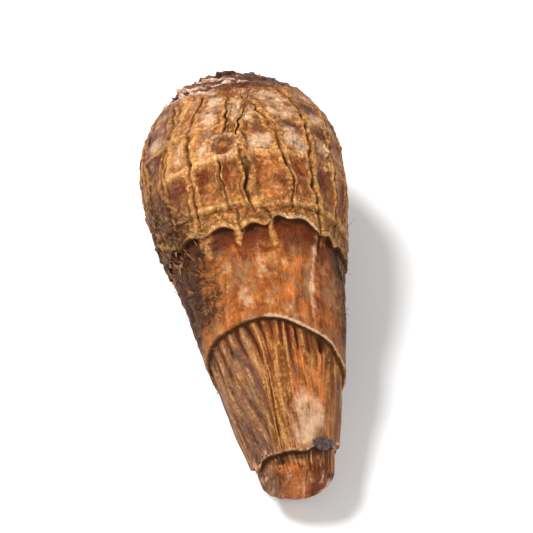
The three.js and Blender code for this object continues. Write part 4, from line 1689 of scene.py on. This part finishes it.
@dataclass
class SkinThreads:
    """Thin round threads that follow the skin: matted fibres and root hairs."""

    ground: SkinGround
    sides: int = 4

    def thread(self, made: bmesh.types.BMesh, spots: np.ndarray, thick: float, taper: float) -> None:
        """Adds one thread.

        Args:
            made: The piece that it joins.
            spots: Its path, one row a joint, in metres.
            thick: Its half thickness at its first joint, in metres.
            taper: How thick each joint is beside the one before it.
        """
        path = [self.ground.inside(Vector(spot)) for spot in spots]
        aim = (path[1] - path[0]).normalized()
        base = Matrix.Translation(path[0]) @ aim.to_track_quat("Z", "Y").to_matrix().to_4x4()
        ring = bmesh.ops.create_circle(made, segments=self.sides, radius=thick, cap_ends=True, matrix=base)
        end = ring["verts"][0].link_faces[0]
        for here, there in zip(path[:-1], path[1:]):
            end = bmesh.ops.extrude_discrete_faces(made, faces=[end])["faces"][0]
            heading = (there - here).normalized()
            turn = aim.rotation_difference(heading)
            for vert in end.verts:
                vert.co = self.ground.inside(there + turn @ (vert.co - here) * taper)
            aim = heading

    def matted(self, material: bpy.types.Material) -> bpy.types.Object:
        """Makes the golden fibres matted over the dark flanks, most of them on the left.

        Args:
            material: Their finish.

        Returns:
            The fibres' object.
        """
        rng = random.Random(271)
        made = bmesh.new()
        joints = np.arange(6)
        for _ in range(340):
            side = rng.choice([-1, -1, -1, 1])
            start = rng.uniform(23, 63) - rng.uniform(0, 12) if side < 0 else rng.uniform(36, 60)
            low = 84 - 34 * min(1.0, max(0.0, (start - 22) / 16)) if side < 0 else 60
            around = math.radians(side * rng.uniform(low - 6, 165))
            length = rng.uniform(1.2, 3.6)
            lean = rng.choice([0.3, 0.5, 0.7, -0.2]) + rng.uniform(-0.2, 0.2)
            bend = rng.uniform(-0.3, 0.3)
            along = start + length * joints / 5
            turned = around + (lean * (along - start) + bend * (along - start) ** 2 / length * 2) / 17
            above = rng.uniform(-0.4, -0.12) + 0.2 * np.sin(math.pi * joints / 5)
            spots = self.ground.points(along, turned, above)
            self.thread(made, spots, rng.uniform(0.08, 0.19) * MM, 0.92)
        return finish_piece(made, "matted_fibres", material)

    def hairs(self, material: bpy.types.Material) -> bpy.types.Object:
        """Makes the fine root hairs that stand off the flanks and under the layers' edges.

        Args:
            material: Their finish.

        Returns:
            The hairs' object.
        """
        rng = random.Random(712)
        made = bmesh.new()
        joints = np.arange(6)
        for _ in range(130):
            starts = [rng.uniform(30, 44), rng.gauss(42, 1.2), rng.uniform(44, 64), rng.gauss(66, 1.0)]
            start = rng.choice(starts)
            around = math.radians(rng.choice([-1, -1, 1]) * rng.uniform(58, 165))
            length = rng.uniform(1.5, 5.5)
            share = joints / 5
            along = start + length * share * rng.uniform(-0.5, 0.9)
            turned = around + length * share * rng.uniform(-0.9, 0.9) / 17
            above = -0.2 + length * rng.uniform(0.15, 0.6) * share * (1 - rng.uniform(0.0, 0.6) * share)
            spots = self.ground.points(along, turned, above)
            self.thread(made, spots, rng.uniform(0.05, 0.09) * MM, 0.86)
        return finish_piece(made, "root_hairs", material)


@dataclass(frozen=True)
class TornBit:
    """A torn bit of skin: its place in mm and degrees, its size and lift in mm, and its turn."""

    along: float
    around: float
    wide: float
    long: float
    lift: float
    turned: float
    above: float


@dataclass
class ThinScraps:
    """Curled scales of bark, and torn papery sheath round the crown."""

    ground: SkinGround

    def scrap(
        self,
        made: bmesh.types.BMesh,
        frame: Matrix,
        size: tuple[float, float],
        curl: float,
        rng: random.Random,
        thick: float = 0.09,
    ) -> None:
        """Adds one thin curled scrap with a ragged free edge.

        Args:
            made: The piece that it joins.
            frame: Where it grows, with Y towards its free edge and Z out.
            size: Its width and length, in mm.
            curl: How far its free edge lifts, in mm.
            rng: The draws for its edge.
            thick: Its thickness, in mm.
        """
        across, down = 5, 4
        part = bmesh.new()
        bmesh.ops.create_grid(part, x_segments=across, y_segments=down, size=0.5)
        skew = rng.uniform(-0.4, 0.4)
        ragged = {k: rng.uniform(0.6, 1.15) for k in range(across + 1)}
        for vert in part.verts:
            share = vert.co.y + 0.5
            edge = ragged[round((vert.co.x + 0.5) * across)]
            x = vert.co.x * size[0] * (1 - 0.35 * share * share) + skew * share
            y = share * size[1] * (1 + (edge - 1) * share)
            z = curl * share**2 + 0.16 * size[0] * (0.25 - vert.co.x**2) + rng.uniform(-0.03, 0.03)
            vert.co = Vector((x, y, z)) * MM
        bmesh.ops.recalc_face_normals(part, faces=part.faces)
        bmesh.ops.solidify(part, geom=part.faces[:], thickness=thick * MM)
        bmesh.ops.transform(part, matrix=frame, verts=part.verts)
        self.join(made, part)

    def join(self, made: bmesh.types.BMesh, part: bmesh.types.BMesh) -> None:
        """Holds a part inside the corm's box, and moves it into a piece.

        Args:
            made: The piece that it joins.
            part: The part, which is used up.
        """
        for vert in part.verts:
            vert.co = self.ground.inside(vert.co)
        scratch = bpy.data.meshes.new("scratch")
        part.to_mesh(scratch)
        part.free()
        made.from_mesh(scratch)
        bpy.data.meshes.remove(scratch)

    def scales(self, material: bpy.types.Material) -> bpy.types.Object:
        """Makes the bark's scales, thickest on the left flank and below the scars.

        Args:
            material: Their finish.

        Returns:
            The scales' object.
        """
        rng = random.Random(915)
        made = bmesh.new()
        for _ in range(90):
            side = rng.choice([-1, -1, 1])
            places = [rng.uniform(17, 41), rng.gauss(26, 1.2), rng.gauss(38, 1.0), rng.gauss(41.5, 0.6)]
            along = rng.choice(places)
            around = math.radians(side * rng.uniform(38, 178))
            frame = self.ground.frame(along, around, 0.12)
            turn = Matrix.Rotation(rng.uniform(-0.6, 0.6), 4, "Z")
            size = (rng.uniform(0.6, 1.6), rng.uniform(0.8, 1.9))
            self.scrap(made, frame @ turn, size, rng.uniform(0.05, 0.6), rng, 0.07)
        return finish_piece(made, "bark_scales", material)

    def lump(self, material: bpy.types.Material) -> bpy.types.Object:
        """Makes the dark dried lump that sits on the torn skin's edge.

        Args:
            material: Its finish.

        Returns:
            The lump's object.
        """
        made = bmesh.new()
        bmesh.ops.create_icosphere(made, subdivisions=4, radius=1.0)
        frame = self.ground.frame(86.0, math.radians(39.5), 0.0)
        spots = np.array([vert.co for vert in made.verts])
        bumps = 1 + 0.55 * grainy(spots, (1.5, 1.5, 1.5), 85, 3)
        bumps += 0.35 * grainy(spots, (3.6, 3.6, 3.6), 82, 3)
        for vert, grow in zip(made.verts, bumps):
            x, y, z = vert.co * float(grow)
            vert.co = self.ground.inside(frame @ (Vector((2.9 * x, 1.3 * y - 0.25 * x, 1.05 * z)) * MM))
        return finish_piece(made, "dried_lump", material)

    def torn(
        self, name: str, bits: tuple[TornBit, ...], seed: int, thick: float, material: bpy.types.Material
    ) -> bpy.types.Object:
        """Makes a few torn bits of skin, each at its own place.

        Args:
            name: The piece's name.
            bits: The bits.
            seed: Picks the draws for their edges.
            thick: Their thickness, in mm.
            material: Their finish.

        Returns:
            The bits' object.
        """
        rng = random.Random(seed)
        made = bmesh.new()
        for bit in bits:
            frame = self.ground.frame(bit.along, math.radians(bit.around), bit.above)
            turn = Matrix.Rotation(bit.turned, 4, "Z")
            self.scrap(made, frame @ turn, (bit.wide, bit.long), bit.lift, rng, thick)
        return finish_piece(made, name, material)

    def flakes(self, material: bpy.types.Material) -> bpy.types.Object:
        """Makes the pale torn flakes on the bulb's right shoulder."""
        rows = (
            (22.2, 50, 2.4, 0.8, 0.4, 0.5), (23.8, 47.6, 1.5, 0.8, 0.4, -0.3),
            (27.2, 46.4, 1.5, 0.9, 0.4, -0.2), (26, 51, 1.1, 0.7, 0.4, 0.9),
        )
        bits = tuple(TornBit(*row, above=0.3) for row in rows)
        return self.torn("shoulder_flakes", bits, 18, 0.14, material)

    def flaps(self, material: bpy.types.Material) -> bpy.types.Object:
        """Makes the pale flaps of torn skin round the stub, which follow the tilt of its edge."""
        rows = (
            (84.6, -60, 2.6, 2.6, -0.4, 0.6), (84.5, -46, 1.6, 1.5, -0.3, -0.4),
            (84.6, 6, 2.2, 1.2, -0.3, 0.1), (84.9, 62, 2.4, 1.8, -0.2, 0.2),
            (84.8, 118, 3, 2.2, 0, -0.2), (84.9, -140, 2.8, 2, 0, 0.3),
        )
        bits = []
        for along, around, *rest in rows:
            tilt = self.ground.form.shift(np.array([along]), np.array([math.radians(around)]))
            bits.append(TornBit(along + float(tilt[0]), around, *rest, above=0.22))
        return self.torn("skin_flaps", tuple(bits), 57, 0.12, material)

    def rims(
        self,
        name: str,
        rims: tuple[tuple[float, float, float, float, float], ...],
        lean: float,
        rng: random.Random,
        material: bpy.types.Material,
    ) -> bpy.types.Object:
        """Makes thin torn rims that stand round the crown's cap and lean outwards.

        Args:
            name: The piece's name.
            rims: Each rim's radius and distance along in mm, its first and last angle in degrees, and its
                height in mm.
            lean: How far a rim leans outwards for each mm of its height.
            rng: The draws for the torn edges.
            material: Their finish.

        Returns:
            The rims' object.
        """
        made = bmesh.new()
        across, up = 26, 3
        for radius, along, start, stop, tall in rims:
            part = bmesh.new()
            bmesh.ops.create_grid(part, x_segments=across, y_segments=up, size=0.5)
            draws = [rng.uniform(0.15, 1.25) for _ in range(across + 3)]
            ragged = [(draws[k] + draws[k + 1] + draws[k + 2]) / 3 for k in range(across + 1)]
            for vert in part.verts:
                share = vert.co.x + 0.5
                rise = (vert.co.y + 0.5) * ragged[round(share * across)] * tall
                rise *= math.sin(math.pi * share) ** 0.35
                around = math.radians(start + (stop - start) * share)
                out = radius + lean * rise + 0.25 * math.sin(9 * around + radius)
                out = min(out, self.ground.form.crown_radius)
                back = along + 0.4 - (1.1 - 0.45 * lean) * rise
                spot = self.ground.cap_points(np.array([out]), np.array([back]), np.array([around]))
                vert.co = Vector(spot[0])
            bmesh.ops.recalc_face_normals(part, faces=part.faces)
            bmesh.ops.solidify(part, geom=part.faces[:], thickness=0.12 * MM)
            self.join(made, part)
        return finish_piece(made, name, material)

    def sheath(self, material: bpy.types.Material) -> bpy.types.Object:
        """Makes the papery rims of old leaf bases that are torn off on the crown's upper side."""
        rims = (
            (13.6, 0.6, -118, -52, 1.9), (12.9, -0.8, -66, -12, 2.4), (10.9, -2.6, -96, -38, 1.9),
            (10.6, -2.8, -24, 20, 1.5), (7, -4.2, -70, 8, 1.3),
        )
        return self.rims("crown_sheath", rims, 0.3, random.Random(61), material)

    def bases(self, material: bpy.types.Material) -> bpy.types.Object:
        """Makes the brown rims of old leaf bases on the rest of the crown."""
        rng = random.Random(67)
        places = [(13.2, 0.1), (12.0, -1.6), (10.3, -2.9), (8.5, -3.6), (6.8, -4.3), (4.4, -4.7)]
        rims = [(13.5, 0.6, 38.0, 84.0, 0.9)]
        for _ in range(22):
            radius, along = rng.choice(places)
            start = rng.uniform(70, 250)
            rims.append((radius, along, start, start + rng.uniform(18, 60), rng.uniform(0.6, 1.4)))
        return self.rims("leaf_bases", tuple(rims), 0.9, rng, material)


@dataclass
class Studio:
    """A pale floor, soft light and the camera."""

    target: tuple[float, float, float] = (0.0015, -0.002, 0.0215)
    azimuth: float = -9.0
    elevation: float = 50.0
    distance: float = 0.55
    frame_height: float = 0.112
    sensor: float = 36.0
    sky: float = 0.36
    floor_white: tuple[float, float, float, float] = (0.9, 0.9, 0.9, 1.0)

    def camera(self) -> None:
        """Aims the camera at the corm from the photograph's angle."""
        a, e = math.radians(self.azimuth), math.radians(self.elevation)
        back = Vector((math.sin(a) * math.cos(e), -math.cos(a) * math.cos(e), math.sin(e)))
        data = bpy.data.cameras.new("camera")
        data.sensor_width = self.sensor
        data.lens = self.sensor * self.distance / self.frame_height
        data.clip_start = 0.01
        camera = bpy.data.objects.new("camera", data)
        camera.location = Vector(self.target) + back * self.distance
        camera.rotation_euler = back.to_track_quat("Z", "Y").to_euler()
        bpy.context.collection.objects.link(camera)
        bpy.context.scene.camera = camera

    def area(self, name: str, place: tuple[float, float, float], size: float, power: float) -> None:
        """Hangs one soft light that points at the corm.

        Args:
            name: The light's name.
            place: Where it hangs, in metres.
            size: Its width.
            power: Its power, in watts.
        """
        data = bpy.data.lights.new(name, "AREA")
        data.shape = "DISK"
        data.size = size
        data.energy = power
        light = bpy.data.objects.new(name, data)
        light.location = place
        light.rotation_euler = (Vector(place) - Vector((0, 0, 0.02))).to_track_quat("Z", "Y").to_euler()
        bpy.context.collection.objects.link(light)

    def build(self) -> None:
        """Makes the floor, the lights and the camera."""
        scene = bpy.context.scene
        scene.view_settings.view_transform = "Standard"
        scene.view_settings.look = "None"
        world = bpy.data.worlds.new("studio")
        world.use_nodes = True
        world.node_tree.nodes["Background"].inputs["Color"].default_value = (1.0, 1.0, 1.0, 1.0)
        world.node_tree.nodes["Background"].inputs["Strength"].default_value = self.sky
        scene.world = world
        made = bmesh.new()
        bmesh.ops.create_grid(made, x_segments=2, y_segments=2, size=3.0)
        mesh = bpy.data.meshes.new("floor")
        made.to_mesh(mesh)
        made.free()
        graph = Graph("floor_white")
        graph.shader.inputs["Base Color"].default_value = self.floor_white
        graph.shader.inputs["Roughness"].default_value = 0.9
        graph.shader.inputs["Specular IOR Level"].default_value = 0.1
        mesh.materials.append(graph.material)
        floor = bpy.data.objects.new("floor", mesh)
        bpy.context.collection.objects.link(floor)
        self.area("key", (-0.35, 0.2, 0.7), 0.3, 9.5)
        self.area("front", (0.3, -0.55, 0.5), 0.5, 3.2)
        self.camera()


def main() -> None:
    """Builds the corm and the studio round it."""
    logging.basicConfig(level=logging.INFO, format="%(relativeCreated)7.0f ms  %(message)s")
    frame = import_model()
    LOG.info("loaded %s", sorted(frame["nodes"]))
    Studio().build()
    skin = CormSkin()
    corm = skin.build()
    corm.data.materials.append(SkinFinish().build())
    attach(corm, BODY)
    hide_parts(NODE)
    ground = SkinGround(skin.form)
    brown = ThinFinish("dry_hair", Tint(150, 96, 48), Tint(96, 58, 26)).build()
    golden = ThinFinish("golden_fibre", Tint(146, 94, 46), Tint(78, 42, 16)).build()
    scale = ThinFinish("bark_scale", Tint(150, 98, 52), Tint(104, 66, 32)).build()
    dried = ThinFinish("dried_lump", Tint(96, 68, 66), Tint(38, 22, 22), 0.4).build()
    paper = ThinFinish("torn_paper", Tint(226, 198, 176), Tint(140, 88, 64)).build()
    bright = ThinFinish("bright_scrap", Tint(224, 186, 144), Tint(178, 126, 80)).build()
    torn = ThinFinish("torn_skin", Tint(180, 130, 90), Tint(110, 66, 40)).build()
    husk = ThinFinish("dry_husk", Tint(150, 100, 70), Tint(84, 46, 30)).build()
    threads = SkinThreads(ground)
    threads.matted(golden)
    threads.hairs(brown)
    scraps = ThinScraps(ground)
    scraps.scales(scale)
    scraps.sheath(paper)
    scraps.bases(husk)
    scraps.lump(dried)
    scraps.flakes(bright)
    scraps.flaps(torn)


if __name__ == "__main__":
    main()
